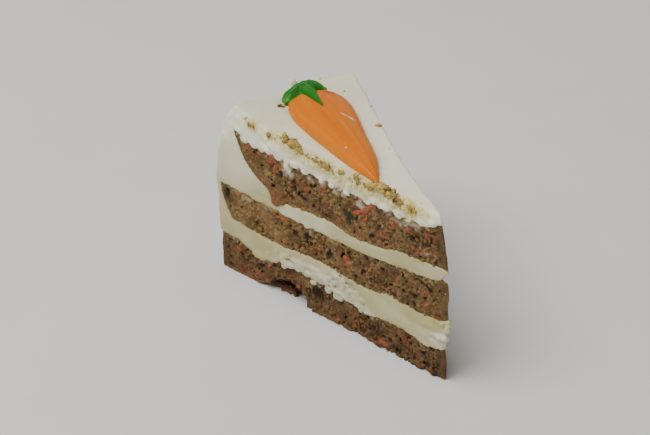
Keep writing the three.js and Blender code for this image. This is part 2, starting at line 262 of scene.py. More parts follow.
class Block:
    """A grid of signed distances in millimetres, negative inside, with painted channels beside it."""

    def __init__(self, low, high, voxel=VOXEL):
        self.voxel = voxel
        self.low = np.array(low, float)
        self.shape = tuple(np.ceil((np.array(high) - self.low) / voxel).astype(int) + 1)
        self.axes = [self.low[k] + voxel * np.arange(self.shape[k]) for k in range(3)]
        x, y, z = (a.astype(np.float32) for a in np.meshgrid(*self.axes, indexing="ij", sparse=True))
        self.distance = np.full(self.shape, FAR, np.float32)
        self.paint = {}
        self.height = z - sag(x, y, z)
        leaning = lean(y, self.height) / 2
        self.side = np.clip((x + leaning) / (half_width(y) - leaning), -1, 1)
        self.radius = y / reach(self.side)
        wide = half_width(self.radius)
        self.left = ((-wide - x) * SLANT).astype(np.float32)
        self.right = ((x - wide + lean(self.radius, self.height)) * SLANT).astype(np.float32)
        self.cut = np.maximum(self.left, self.right)
        self.width = -self.left - self.right
        self.tip = tip(self.height) - self.radius
        self.seen = smoothstep(np.maximum(self.cut, self.tip), -5, -0.5)  # 1 near the cut faces and the tip

    def noise(self, size, seed):
        """Smooth noise, mostly from -1 to 1, in bumps about `size` wide; size may differ along x, y and z."""
        sizes = np.broadcast_to(np.asarray(size, float), 3) * LATTICE_SHARE
        counts = np.ceil((CAKE_HIGH - CAKE_LOW) / sizes).astype(int) + 4
        field = np.random.default_rng(seed).normal(size=counts).astype(np.float32)
        for axis in (2, 1, 0):
            cell, weights = spline(self.axes[axis], sizes[axis], CAKE_LOW[axis])
            shape = [-1 if k == axis else 1 for k in range(3)]
            field = sum(weights[k].reshape(shape) * np.take(field, cell + k, axis=axis) for k in range(4))
        return NOISE_GAIN * field

    def hold(self, shape):
        """Takes a shape's distances."""
        self.distance = np.clip(shape, -FAR, FAR).astype(np.float32)

    def channel(self, name, value=0.0):
        if name not in self.paint:
            self.paint[name] = np.full(self.shape, value, np.float32)
        return self.paint[name]

    def near(self, centre, size):
        """The slices of the cells within `size` of a point, and their places from it."""
        centre = np.asarray(centre, float)
        low = np.floor((centre - size - self.low) / self.voxel).astype(int)
        high = np.ceil((centre + size - self.low) / self.voxel).astype(int) + 1
        low, high = (np.clip(v, 0, self.shape) for v in (low, high))
        spans = [self.axes[k][low[k] : high[k]] - centre[k] for k in range(3)]
        box = tuple(slice(a, b) for a, b in zip(low, high))
        return box, np.stack(np.meshgrid(*spans, indexing="ij"), axis=-1)

    def brush(self, box, cover, paint):
        """Moves the channels in `paint` towards their new values by the share `cover`."""
        for name, value in paint.items():
            layer = self.channel(name)
            layer[box] += cover * (value - layer[box])

    def tint(self, centre, size, **paint):
        """Paints a soft spot that fades out over `size` millimetres."""
        box, local = self.near(centre, 2.2 * size)
        self.brush(box, np.exp(-np.sum(local**2, axis=-1) / size**2), paint)

    def stamp(self, centre, radii, turn=None, carve=False, blend=0.0, spill=0.3, **paint):
        """Adds or carves an ellipsoid, and paints the channels over it and `spill` millimetres round it."""
        radii = np.broadcast_to(np.asarray(radii, float), 3)
        box, local = self.near(centre, float(np.max(radii)) + blend + spill + 1.5 * self.voxel)
        if turn is not None:
            local = local @ turn
        scaled = np.sqrt(np.sum((local / radii) ** 2, axis=-1))
        away = ((scaled - 1) * float(np.min(radii))).astype(np.float32)
        held = self.distance[box]
        self.distance[box] = smooth_max(held, -away, blend) if carve else smooth_min(held, away, blend)
        self.brush(box, np.clip(0.5 - (away - spill) / (1.5 * self.voxel), 0, 1), paint)

    def sample(self, grid, points):
        """The grid's value at points, blended between its eight nearest cells."""
        place = np.clip((points - self.low) / self.voxel, 0, np.array(self.shape) - 1.001)
        cell = place.astype(int)
        part = place - cell
        total = np.zeros(len(points))
        for step in np.ndindex(2, 2, 2):
            weight = np.prod(np.where(np.array(step) == 1, part, 1 - part), axis=1)
            total += weight * grid[tuple((cell + np.array(step)).T)]
        return total

    def mesh(self, adaptivity, smallest=None):
        """The surface's points in millimetres, its triangles and its quads.

        Keeps the largest shell alone, or each shell of at least `smallest` points.
        """
        grid = openvdb.FloatGrid(FAR)
        grid.copyFromArray(np.ascontiguousarray(np.clip(self.distance, -FAR, FAR), np.float32))
        points, triangles, quads = grid.convertToPolygons(isovalue=0.0, adaptivity=adaptivity)
        triangles = triangles.reshape(-1, 3).astype(np.int64)
        quads = quads.reshape(-1, 4).astype(np.int64)
        shell = shells(len(points), triangles, quads)
        sizes = np.bincount(shell)
        kept = sizes[shell] >= smallest if smallest else shell == np.argmax(sizes)
        renumbered = np.cumsum(kept) - 1
        triangles = renumbered[triangles[kept[triangles[:, 0]]]]
        quads = renumbered[quads[kept[quads[:, 0]]]]
        return self.low + points[kept] * self.voxel, triangles, quads


def shells(count, triangles, quads):
    """The number of the connected shell that each point is on."""
    pairs = [triangles[:, [0, 1]], triangles[:, [1, 2]], quads[:, [0, 1]], quads[:, [1, 2]], quads[:, [2, 3]]]
    edges = np.concatenate(pairs)
    parent = np.arange(count)
    while True:
        ends = parent[edges]
        low = ends.min(axis=1)
        merged = parent.copy()
        np.minimum.at(merged, ends[:, 0], low)
        np.minimum.at(merged, ends[:, 1], low)
        while not np.array_equal(merged, merged[merged]):
            merged = merged[merged]
        if np.array_equal(merged, parent):
            return parent
        parent = merged


def face_turn(side, angle=0.0):
    """Axes on a cut face as columns: `angle` degrees up from the rim's way, across that, and outwards."""
    along = np.array([side * math.sin(HALF_ANGLE), SLANT, 0])
    up = np.array([0, 0, 1.0])
    out = np.array([side * SLANT, -math.sin(HALF_ANGLE), 0])
    c, s = math.cos(math.radians(angle)), math.sin(math.radians(angle))
    return np.stack([c * along + s * up, c * up - s * along, out], axis=1)


def flat_turn(angle):
    """Axes that lie flat as columns: one turned `angle` degrees from +X, one across it, one up."""
    c, s = math.cos(math.radians(angle)), math.sin(math.radians(angle))
    return np.array([[c, -s, 0], [s, c, 0], [0, 0, 1.0]])


def on_top(x, y, above):
    """A point `above` millimetres over the frosting's top."""
    return np.array([x, y, float(top_height(x, y)) + above])


def random_turn():
    """A random rotation."""
    turn, _ = np.linalg.qr(random.normal(size=(3, 3)))
    return turn


# ---- Meshes ----


def mesh_object(name, points, triangles, quads, paint):
    """A Blender object from points in millimetres in the slice's plan, with its colour attributes."""
    vertices = ((points + APEX) * MM).astype(np.float32)
    triangles = np.asarray(triangles, np.int32).reshape(-1, 3)
    quads = np.asarray(quads, np.int32).reshape(-1, 4)
    mesh = bpy.data.meshes.new(name)
    mesh.vertices.add(len(vertices))
    mesh.vertices.foreach_set("co", vertices.ravel())
    mesh.loops.add(triangles.size + quads.size)
    mesh.loops.foreach_set("vertex_index", np.concatenate([triangles.ravel(), quads.ravel()]))
    sizes = np.concatenate([np.full(len(triangles), 3), np.full(len(quads), 4)])
    mesh.polygons.add(len(sizes))
    starts = np.concatenate([[0], np.cumsum(sizes)[:-1]]).astype(np.int32)
    mesh.polygons.foreach_set("loop_start", starts)
    mesh.polygons.foreach_set("use_smooth", np.ones(len(sizes), bool))
    for channel, values in paint.items():
        layer = mesh.color_attributes.new(channel, "FLOAT_COLOR", "POINT")
        layer.data.foreach_set("color", np.asarray(values, np.float32).ravel())
    mesh.update(calc_edges=True)
    mesh.validate()
    piece = bpy.data.objects.new(name, mesh)
    bpy.context.scene.collection.objects.link(piece)
    return piece


def block_object(name, block, adaptivity, attributes, smallest=None):
    """A block's surface as an object; `attributes` names each colour attribute's channels."""
    points, triangles, quads = block.mesh(adaptivity, smallest)
    paint = {}
    for attribute, channels in attributes.items():
        values = [block.sample(block.channel(channel), points) for channel in channels]
        values += [np.ones(len(points))] * (4 - len(values))
        paint[attribute] = np.stack(values, axis=1)
    return mesh_object(name, points, triangles, quads, paint)


# ---- Seams: the ragged heights where cream and sponge meet ----


def seam(block, height, seed, rough):
    """A surface between two layers, ragged where it shows; both layers take it from here."""
    ragged = 0.5 * block.noise(4.0, seed) + 0.35 * block.noise(1.9, seed + 1)
    ragged += 0.16 * block.noise(1.0, seed + 2)
    return height(block.radius, block.side) + rough * block.seen * ragged


def bottom_seam(block):
    return seam(block, bottom_sponge_top, 101, 1.0)


def lower_seam(block):
    return seam(block, lower_filling_top, 104, 0.7)


def middle_seam(block):
    return seam(block, middle_sponge_top, 107, 0.55)


def upper_seam(block):
    return seam(block, upper_filling_top, 110, 0.5)


def top_seam(block):
    return seam(block, top_sponge_top, 113, 0.75)


# ---- Sponge ----


def crumb_relief(block, seed):
    """Crumbs that stand out of a cut sponge, and hollows where the knife has torn it."""
    hollows = np.maximum(0, block.noise(9, seed + 2) - 0.75)
    fine = 0.14 * block.noise(1.9, seed + 3) + 0.11 * block.noise(1.1, seed + 4)
    return 0.5 * block.noise(7, seed) + 0.2 * block.noise(3.7, seed + 1) + fine - 1.5 * hollows


def sponge_block(low, high, bottom, top, rim, seed, fuzz=0.7):
    """The distances and the paint of a sponge layer between two heights, before pores and crumbs.

    The crumb is damp and yellower close to the cream, and `fuzz` says how much cream is smeared over its top.
    """
    block = Block((-36, -5, low), (36, 127, high))
    under_top = top(block) - block.height
    over_bottom = block.height - bottom(block)
    calm = (0.35 + 0.65 * smoothstep(block.height, 0, 5)) * (1 - 0.65 * smoothstep(block.radius, 92, 108))
    calm *= (0.12 + 0.88 * smoothstep(block.radius, 2, 14)) * (1 - 0.5 * bell(under_top, 0, 1.5))
    relief = crumb_relief(block, seed) * calm
    shape = smooth_max(block.cut - relief, block.tip - 0.6 * relief, 0.6)
    shape = np.maximum(shape, block.radius - rim(block.height))
    shape = np.maximum(shape, -under_top - OVERLAP)
    shape = np.maximum(shape, -over_bottom - OVERLAP)
    block.hold(shape)
    block.core = np.maximum(block.distance, block.cut + 0.3 * block.width)
    tone = 0.46 + 0.1 * block.noise(7, seed + 5) + 0.07 * block.noise(2.2, seed + 6)
    block.paint["tone"] = tone.astype(np.float32)
    # Painted shade: the pore channel darkens the crumb where the relief sinks into hollows.
    block.paint["pore"] = np.clip(-0.25 * relief, 0, 0.25).astype(np.float32)
    near_cream = bell(np.minimum(under_top, over_bottom), 0, 1.3)
    damp = near_cream * np.clip(0.6 + 0.5 * block.noise(6, seed + 7), 0, 1)
    block.paint["damp"] = damp.astype(np.float32)
    smeared = np.clip(0.9 * block.noise(1.2, seed + 8) + 0.7 * block.noise(5, seed + 9) - 0.3, 0, 1)
    smeared *= smoothstep(block.radius, 5, 14)
    block.paint["cream"] = (fuzz * bell(under_top, 0, 2.0) * smeared).astype(np.float32)
    return block


def scatter_on_faces(count, bottom, top, rim, closed=1.0):
    """Random places on a layer's two cut faces: radius, side and height in turn.

    They are spread evenly, apart from the rim's end, where only the share `closed` of them is kept.
    """
    radius = SPONGE_RADIUS * random.random(count)
    side = np.where(random.random(count) < 0.5, LEFT, RIGHT)
    low = bottom(radius, side)
    height = low + (top(radius, side) - low) * random.random(count)
    inside = (radius > tip(height) + 4) & (radius < rim(height) - 2.5)
    inside &= (radius < 96) | (random.random(count) < closed)
    return zip(radius[inside], side[inside], height[inside])


def crumble(block, bottom, top, rim, density=1.0):
    """Pores, carved and painted with their shade, loose grains, carrot shreds, dark specks and soft stains
    all over a sponge's cut faces.
    """
    area = density * 2 * SPONGE_RADIUS * 16  # in square millimetres: both faces are about 16 mm high

    def places(per_area, closed=1.0):
        return scatter_on_faces(int(per_area * area), bottom, top, rim, closed)

    for radius, side, height in places(0.3, 0.35):
        size = 0.26 + 0.34 * random.random() ** 2.5
        centre = on_slice(radius, side, height, 0.1 - 0.6 * size)
        turn = face_turn(side, 180 * random.random())
        radii = (size * (1 + 1.2 * random.random()), size, size * 1.2)
        block.stamp(centre, radii, turn, carve=True, blend=0.2, spill=0.1, pore=0.35 + 0.5 * random.random())
    for radius, side, height in places(0.012, 0.2):
        size = 0.7 + 0.7 * random.random() ** 2
        centre = on_slice(radius, side, height, -0.3 - 0.2 * size)
        turn = face_turn(side, 180 * random.random())
        block.stamp(centre, (size * 1.5, size, size), turn, carve=True, blend=0.4, spill=0.1, pore=0.6)
    for radius, side, height in places(0.6):
        size = 0.3 + 0.28 * random.random() ** 2
        centre = on_slice(radius, side, height, 0.4 * random.random() - 0.2)
        tone = 0.5 + 0.4 * random.random()
        radii = (size * 1.3, size, size)
        block.stamp(centre, radii, random_turn(), blend=0.25, spill=0.1, tone=tone, pore=0.0)
    for radius, side, height in places(0.007):
        size = 0.3 + 0.25 * random.random()
        centre = on_slice(radius, side, height, 0.1)
        turn = face_turn(side, 180 * random.random())
        radii = (size * (1.5 + 2 * random.random()), size, 0.5)
        block.stamp(centre, radii, turn, blend=0.2, carrot=0.35 + 0.45 * random.random())
    for radius, side, height in places(0.012):
        size = 0.25 + 0.25 * random.random()
        centre = on_slice(radius, side, height, -0.25)
        turn = face_turn(side, 180 * random.random())
        block.stamp(centre, (size * 1.5, size, 0.6), turn, carve=True, blend=0.1, spill=0.2, dark=0.8)
    for radius, side, height in scatter_on_faces(110, bottom, top, rim):
        centre = on_slice(radius, side, height, 0)
        size = 0.8 + 2.2 * random.random() ** 1.5
        kind = random.random()
        if kind < 0.4:
            block.tint(centre, size, carrot=0.12 + 0.2 * random.random())
        elif kind < 0.7:
            block.tint(centre, size, damp=0.3 + 0.4 * random.random())
        else:
            block.tint(centre, size, tone=0.25 + 0.1 * random.random())


def each(make, block, *rows, **more):
    """Makes a detail for each row of its values after the block; `more` goes for all of them."""
    for row in rows:
        make(block, *row, **more)


def stain(block, radius, height, size, **paint):
    """A soft spot of paint on the left cut face."""
    block.tint(on_slice(radius, LEFT, height), size, **paint)


def shred(block, radius, height, long, wide, angle, share):
    """A shred of carrot that stands out of the left cut face."""
    centre = on_slice(radius, LEFT, height, 0.15)
    radii = (long / 2, wide / 2, 0.8)
    block.stamp(centre, radii, face_turn(LEFT, angle), blend=0.25, spill=0.25, carrot=share, pore=0.0)


def spot(block, radius, height, long, wide, angle=0.0, deep=0.8, **paint):
    """A dark or coloured hollow in the left cut face."""
    centre = on_slice(radius, LEFT, height, -0.2)
    radii = (long / 2, wide / 2, deep)
    block.stamp(centre, radii, face_turn(LEFT, angle), carve=True, blend=0.2, spill=0.3, **paint)


def lump(block, radius, height, long, wide, angle=0.0, out=0.0, thick=0.6, blend=0.4, **paint):
    """A flat lump on the left cut face."""
    centre = on_slice(radius, LEFT, height, out)
    block.stamp(centre, (long / 2, wide / 2, thick), face_turn(LEFT, angle), blend=blend, spill=0.2, **paint)


def without_holes(block):
    """Fills what has been carved right through the thin tip."""
    block.distance = np.minimum(block.distance, block.core)


SPONGE_PAINT = {"crumb": ("tone", "pore", "carrot", "dark"), "stain": ("cream", "green", "crust", "damp")}


def torn_foot(block):
    """The left face's foot, torn open: a ragged arch, a torn mass standing back in it, and a notch, all
    painted dark inside as their shade.
    """
    torn = bell(block.radius, 85, 9) * (1 - smoothstep(block.height, 7, 12)) * (block.side < 0)
    # The arch's carves are painted brown and dark: painted shade under its overhang.
    for radius, height, long, high in (
        (93.5, 0.2, 4.4, 1.9), (90.4, 2.8, 3.2, 2.8), (87, 4.6, 3.0, 3.2), (84, 5.4, 3.0, 3.4),
        (81, 4.8, 2.6, 3.6), (87, 1, 6.5, 4),
    ):
        centre = on_slice(radius, LEFT, height, 0.4)
        radii = (long, high, 6)
        block.stamp(centre, radii, face_turn(LEFT), carve=True, blend=0.7, crust=1.0, pore=1.0, dark=0.3)
    # The torn mass's pore-shade paint darkens it as the shade inside the arch.
    for _ in range(60):
        along = random.random()
        height = 2.6 * random.random() * (1 - 0.5 * along)
        centre = on_slice(93.6 - 10.4 * along, LEFT, height, -3.4 - 1.6 * random.random())
        size = 0.6 + 0.8 * random.random()
        radii = (1.4 * size, size, size)
        pore = 0.8 * random.random()
        block.stamp(centre, radii, random_turn(), blend=0.3, dark=0.0, carrot=0.15, pore=pore)
    # The notch is painted crust-brown and with pore shade, as the shade inside it.
    notch = on_slice(78.6, LEFT, 1.2, 0)
    block.stamp(notch, (3.8, 5.4, 9.5), face_turn(LEFT, 8), carve=True, blend=0.8, crust=0.8, pore=0.75)
    block.distance += torn * (0.55 * block.noise(2.4, 22) + 0.4 * block.noise(1.3, 23))


def bottom_sponge():
    """The bottom layer, baked browner and painted darker as shade, with the left face's foot torn open."""

    def base(block):
        return np.full(block.shape, OVERLAP, np.float32)

    block = sponge_block(-2, 21, base, bottom_seam, bottom_sponge_rim, 11, 0.9)
    crumble(block, flat_base, bottom_sponge_top, bottom_sponge_rim)
    foot = 1 - smoothstep(block.height, 0, 9)
    rim_end = smoothstep(block.radius, 92, 108)
    crust = 0.4 + 0.45 * foot * smoothstep(block.radius, 30, 70) + 0.35 * rim_end + 0.25 * block.noise(7, 21)
    block.paint["crust"] = np.clip(crust, 0, 1).astype(np.float32)
    # Painted shade: the bottom layer darker all over, and darker still towards the tip.
    block.paint["tone"] -= 0.1 + 0.1 * smoothstep(block.radius, 60, 20)
    torn_foot(block)
    spot(block, 68, 9.6, 6.4, 5.4, 30, 2.2, pore=0.9, dark=0.35)
    spot(block, 99, 10, 5, 1.4, -25, 1.0, pore=0.8)
    for radius, height, size in ((67, 0.7, 1.3), (53, 0.7, 1.1), (62, 0.7, 1.2), (40, 0.6, 1.0)):
        centre = on_slice(radius, LEFT, height, 0.2)
        block.stamp(centre, (size * 1.6, size * 0.8, 0.8), face_turn(LEFT), blend=0.5, crust=0.8, pore=0.2)
    for _ in range(44):
        size = 0.4 + 0.6 * random.random() ** 1.5
        centre = on_slice(6 + 68 * random.random(), LEFT, 1.4 * random.random(), 0.1 + 0.35 * random.random())
        radii = (size * (1 + random.random()), size, size)
        block.stamp(centre, radii, random_turn(), blend=0.35, crust=0.3 + 0.6 * random.random(), pore=0.2)
    shred(block, 111, 13, 3.4, 1.6, 20, 0.7)
    stain(block, 101, 4, 2.4, carrot=0.3)
    stain(block, 94, 12, 1.8, carrot=0.35)
    shred(block, 83, 4, 2.4, 1.6, 0, 0.7)
    shred(block, 33, 2.6, 4, 2, 20, 0.75)
    for radius, height, size in (
        (45, 3, 1.6), (38, 7, 1.3), (25, 2.6, 2.2), (29, 5.4, 1.4), (12, 8, 1.6), (10, 3.2, 2.2),
    ):
        spot(block, radius, height, size * 1.3, size, 30, dark=0.9)
    centre = on_slice(6.5, LEFT, 1.2, 0.2)
    block.stamp(centre, (1.7, 1.2, 1.2), face_turn(LEFT), blend=0.2, dark=0.7)
    without_holes(block)
    baked = 0.3 + 0.25 * block.noise(5, 24) + 0.15 * block.noise(1.7, 25)
    block.distance = np.maximum(block.distance, block.radius - bottom_sponge_rim(block.height) + baked)
    block.distance = np.maximum(block.distance, -block.height)
    return block


def middle_sponge():
    """The middle layer, with a dark raisin's curve near the tip."""
    block = sponge_block(23, 46, lower_seam, middle_seam, middle_sponge_rim, 31)
    crumble(block, lower_filling_top, middle_sponge_top, middle_sponge_rim)
    # Painted shade: darker towards the tip.
    block.paint["tone"] -= 0.11 * smoothstep(block.radius, 60, 20)
    block.paint["damp"] += 0.25 * smoothstep(block.radius, 70, 95)
    spot(block, 117.3, 38.6, 1.8, 5, 0, 1.2, pore=1.0)
    for height in (40.4, 38.4, 36.4):
        stain(block, 117.6, height, 1.9, dark=0.6, crust=1.0, pore=0.8)
    each(
        shred, block,
        (111, 40.4, 2.6, 1.6, 0, 1.0), (87, 38, 2.4, 2, 60, 0.8), (86, 27.4, 2.2, 1.6, 0, 0.6),
        (53.2, 33.8, 3.4, 2.0, 50, 1.0), (51.4, 31.5, 3.2, 1.3, 55, 0.8), (50.3, 29.8, 2.2, 1.0, 60, 0.5),
        (26, 36, 1.6, 2, 0, 0.8), (11, 31.4, 1.8, 2, 20, 0.9), (33, 29.6, 1.8, 1.2, 0, 0.6),
    )
    each(
        spot, block,
        (102, 30, 1.8, 1.8), (83, 36, 2, 1.8), (80, 34, 2.8, 2.2), (74, 35.4, 1.6, 3.4), (62, 32, 2.6, 4.6),
        (52, 37, 1.3, 1.3), (42, 39, 1.6, 1.3), (34, 38, 1.6, 1.5), (44, 32, 1.7, 1.5),
        (48, 27.6, 1.8, 1.5), (33, 31, 1.2, 1.2), (33, 28.6, 1.0, 1.0), (17, 33, 2.6, 2.0),
        (17, 28.9, 1.3, 1.5), (28, 28.4, 2.6, 1.2),
        angle=20, dark=0.85,
    )
    stain(block, 1.4, 32, 0.9, dark=0.8)
    for radius, height, long, angle in ((13.2, 40.8, 2.8, 9), (10.9, 40.0, 2.8, 30), (9.4, 38.8, 1.6, 50)):
        spot(block, radius, height, long, 0.9, angle, dark=1.0)
    each(
        lump, block,
        (107, 39.6, 4.4, 1.4), (72, 38, 1.2, 3.2), (94, 41, 3, 0.8),
        out=-0.2, thick=0.5, cream=0.4,
    )
    without_holes(block)
    return block


def top_sponge():
    """The top layer, cut short at the rim and crumbling there where the coat's cream wedges under it."""
    block = sponge_block(38, 75, upper_seam, top_seam, top_sponge_rim, 51, 1.7)
    # Slightly darker overall, with painted shade darker towards the tip.
    block.paint["tone"] -= 0.04 + 0.1 * smoothstep(block.radius, 60, 20)
    crumble(block, upper_filling_top, top_sponge_top, top_sponge_rim, 1.15)
    each(
        shred, block,
        (99, 64.6, 2.6, 2.2, 0, 0.55), (92.4, 64.8, 2.4, 5.6, 20, 1.0), (90.6, 60.4, 2.2, 4.4, 15, 0.8),
        (74, 58, 1.6, 1.6, 0, 0.8), (65, 62, 1.4, 3.6, -10, 0.75), (97, 52.4, 2.4, 2, 0, 0.5),
        (94, 50.4, 3, 2, 0, 0.5), (56.4, 51, 1.8, 1.8, 0, 1.0), (47.4, 58.4, 5, 1.9, -28, 1.0),
        (43.2, 61.4, 5.4, 2.4, -38, 1.0), (40.6, 64, 2.6, 2, -40, 0.9), (29, 61, 2.2, 2.8, 0, 1.0),
        (33, 55.4, 1.4, 2, 0, 0.8), (27, 53, 1.6, 1.6, 0, 0.6), (21, 62, 2, 1.5, 0, 0.7),
        (12, 63, 1.5, 2.4, 0, 0.9), (10.4, 66.6, 1.2, 1, 0, 0.8), (15, 54, 1.6, 1.2, 0, 0.5),
    )
    for radius, height, long, wide, angle, share in (
        (81, 58, 3.0, 2.6, 0, 0.3), (80, 55.6, 1.8, 2.2, 0, 0.8), (77.8, 54.4, 2.4, 0.9, -60, 1.0),
        (76, 53.6, 3.6, 0.9, 30, 1.0), (74, 53.2, 1.4, 1.0, 0, 1.0), (92, 52.4, 2.2, 2.2, 0, 0.4),
        (88, 58.6, 2.0, 2.2, 0, 0.8), (70, 51.6, 1.6, 1.2, 0, 1.0), (64, 50, 1.8, 1.4, 0, 0.9),
        (40, 50.6, 2.0, 1.4, 0, 0.8), (19, 59, 2.0, 2.2, 0, 0.8), (13.4, 58.6, 2.2, 2.4, 0, 0.2),
        (15, 52.4, 1.0, 1.0, 0, 0.9), (48, 55, 1.2, 1.2, 0, 0.8), (36, 57, 1.2, 1.2, 0, 0.8),
    ):
        spot(block, radius, height, long, wide, angle, dark=share, pore=1.0)
    for radius, height, size, share in ((6.6, 61.4, 1.3, 0.9), (5.2, 56, 0.9, 0.9), (110, 66, 1.0, 0.4)):
        stain(block, radius, height, size, dark=share)
    each(
        spot, block,
        (52.6, 55.2, 3.2, 2.8), (51.4, 52.8, 2.2, 2.4), (50.2, 54.6, 1.6, 1.4),
        angle=20, deep=0.5, green=1.0, dark=0.25,
    )
    each(
        lump, block,
        (84.6, 63.6, 3.4, 6, 10), (82.4, 61, 1.8, 2.6, 0), (66, 64.4, 2.4, 2.8, 0), (46, 62.6, 3.4, 2.4, 0),
        (59, 63, 2.2, 1.6, 0),
        out=-0.1, thick=0.5, cream=0.6,
    )
    for radius, height, size in ((35, 58, 0.5), (12.6, 55, 0.7), (11.4, 55.2, 0.6)):
        stain(block, radius, height, size, cream=0.5)
    for radius, height in (
        (31, 64.6), (28, 63.6), (25.4, 63.4), (23, 64), (20, 65), (17.6, 65.6), (55, 63.8), (72, 63),
    ):
        for _ in range(5):
            shift = random.normal(size=2)
            centre = on_slice(radius + shift[0], LEFT, height + 0.7 * shift[1], 0)
            block.tint(centre, 0.4 + 0.5 * random.random(), cream=0.3 + 0.4 * random.random())
    each(
        lump, block,
        (90.5, 48.2, 7, 4.4), (90.4, 46.0, 5.6, 4.0), (90.8, 44.4, 4.4, 3.2), (87.6, 46, 4, 3),
        out=0.1, thick=1.0, blend=0.6,
    )
    for radius, height, size, share in (
        (92, 49, 3, 0.2), (91, 45.4, 2.6, 0.55), (88.6, 45.4, 2, 0.45), (86, 47, 3, 0.15), (80, 48.5, 3, 0.05)
    ):
        stain(block, radius, height, size, crust=0.7, carrot=share, pore=0.0, damp=0.3)
    without_holes(block)
    return block


# ---- Cream ----

CREAM_PAINT = {"cream": ("yellow", "rough", "oil", "orange")}
BURIED = 0.8  # how deep the coat and a filling each end under the other's face


def coat_relief(block):
    """How far the coat stands out where the knife cut it smooth."""
    return 0.15 + 0.3 * block.noise(15, 61)


def drawn_over(block):
    """1 where the coat's cream is drawn over the fillings by the knife, 0 where they show."""
    under_wedge = smoothstep(block.radius, 89, 94) * bell(np.minimum(block.height - 48.5, 0), 0, 2.5)
    above = under_wedge * (block.height > 36)
    return smoothstep(block.radius + 2.5 * block.noise(7, 60) + 14 * above, 98, 109)


def filling_relief(block, own):
    """A filling's relief, which becomes the coat's and then dives under it."""
    drawn = drawn_over(block)
    return own + drawn * (coat_relief(block) - own) - BURIED * np.clip(2 * drawn - 1, 0, 1)


def near_cut(block):
    """1 on the cut faces, 0 from 6 mm inwards."""
    return smoothstep(block.cut, -6, -1)


def coat_yellow_and_shade(block):
    """The coat's yellowness, on the cut faces more towards its foot and inwards from the rim, which is partly
    painted shade: there the cream turns darker as well as yellower.
    """
    face = 0.36 * (1 - smoothstep(block.height, 68, 75))
    low = 0.5 * (1 - smoothstep(block.height, 36, 56)) * (0.25 + 0.75 * near_cut(block))
    inner = 0.25 * (1 - smoothstep(block.height, 52, 64)) * (1 - smoothstep(block.radius, 94, 110))
    top = 0.24 * smoothstep(block.height, 72, 75) * smoothstep(block.radius, 50, 110)
    return 0.1 + face + low + inner + top + 0.06 * block.noise(12, 64)


def at_rim(block, yellow):
    """A filling's yellowness, the same as the coat's, with its painted shade, where the coat is drawn over
    it.
    """
    own = np.clip(yellow, 0, 1)
    return own + smoothstep(block.radius, 84, 103) * (coat_yellow_and_shade(block) - own)


def cream_block(low, high, relief, yellow):
    """A block whose cut faces stand out by `relief`, for cream of a given yellowness."""
    block = Block((-37, -5, low), (37, 128, high))
    out = np.maximum(relief(block), -0.3 * block.width)
    block.shown = np.maximum(block.cut - out, block.tip - 0.6 * out)
    block.paint["yellow"] = np.broadcast_to(yellow(block), block.shape).astype(np.float32).copy()
    return block


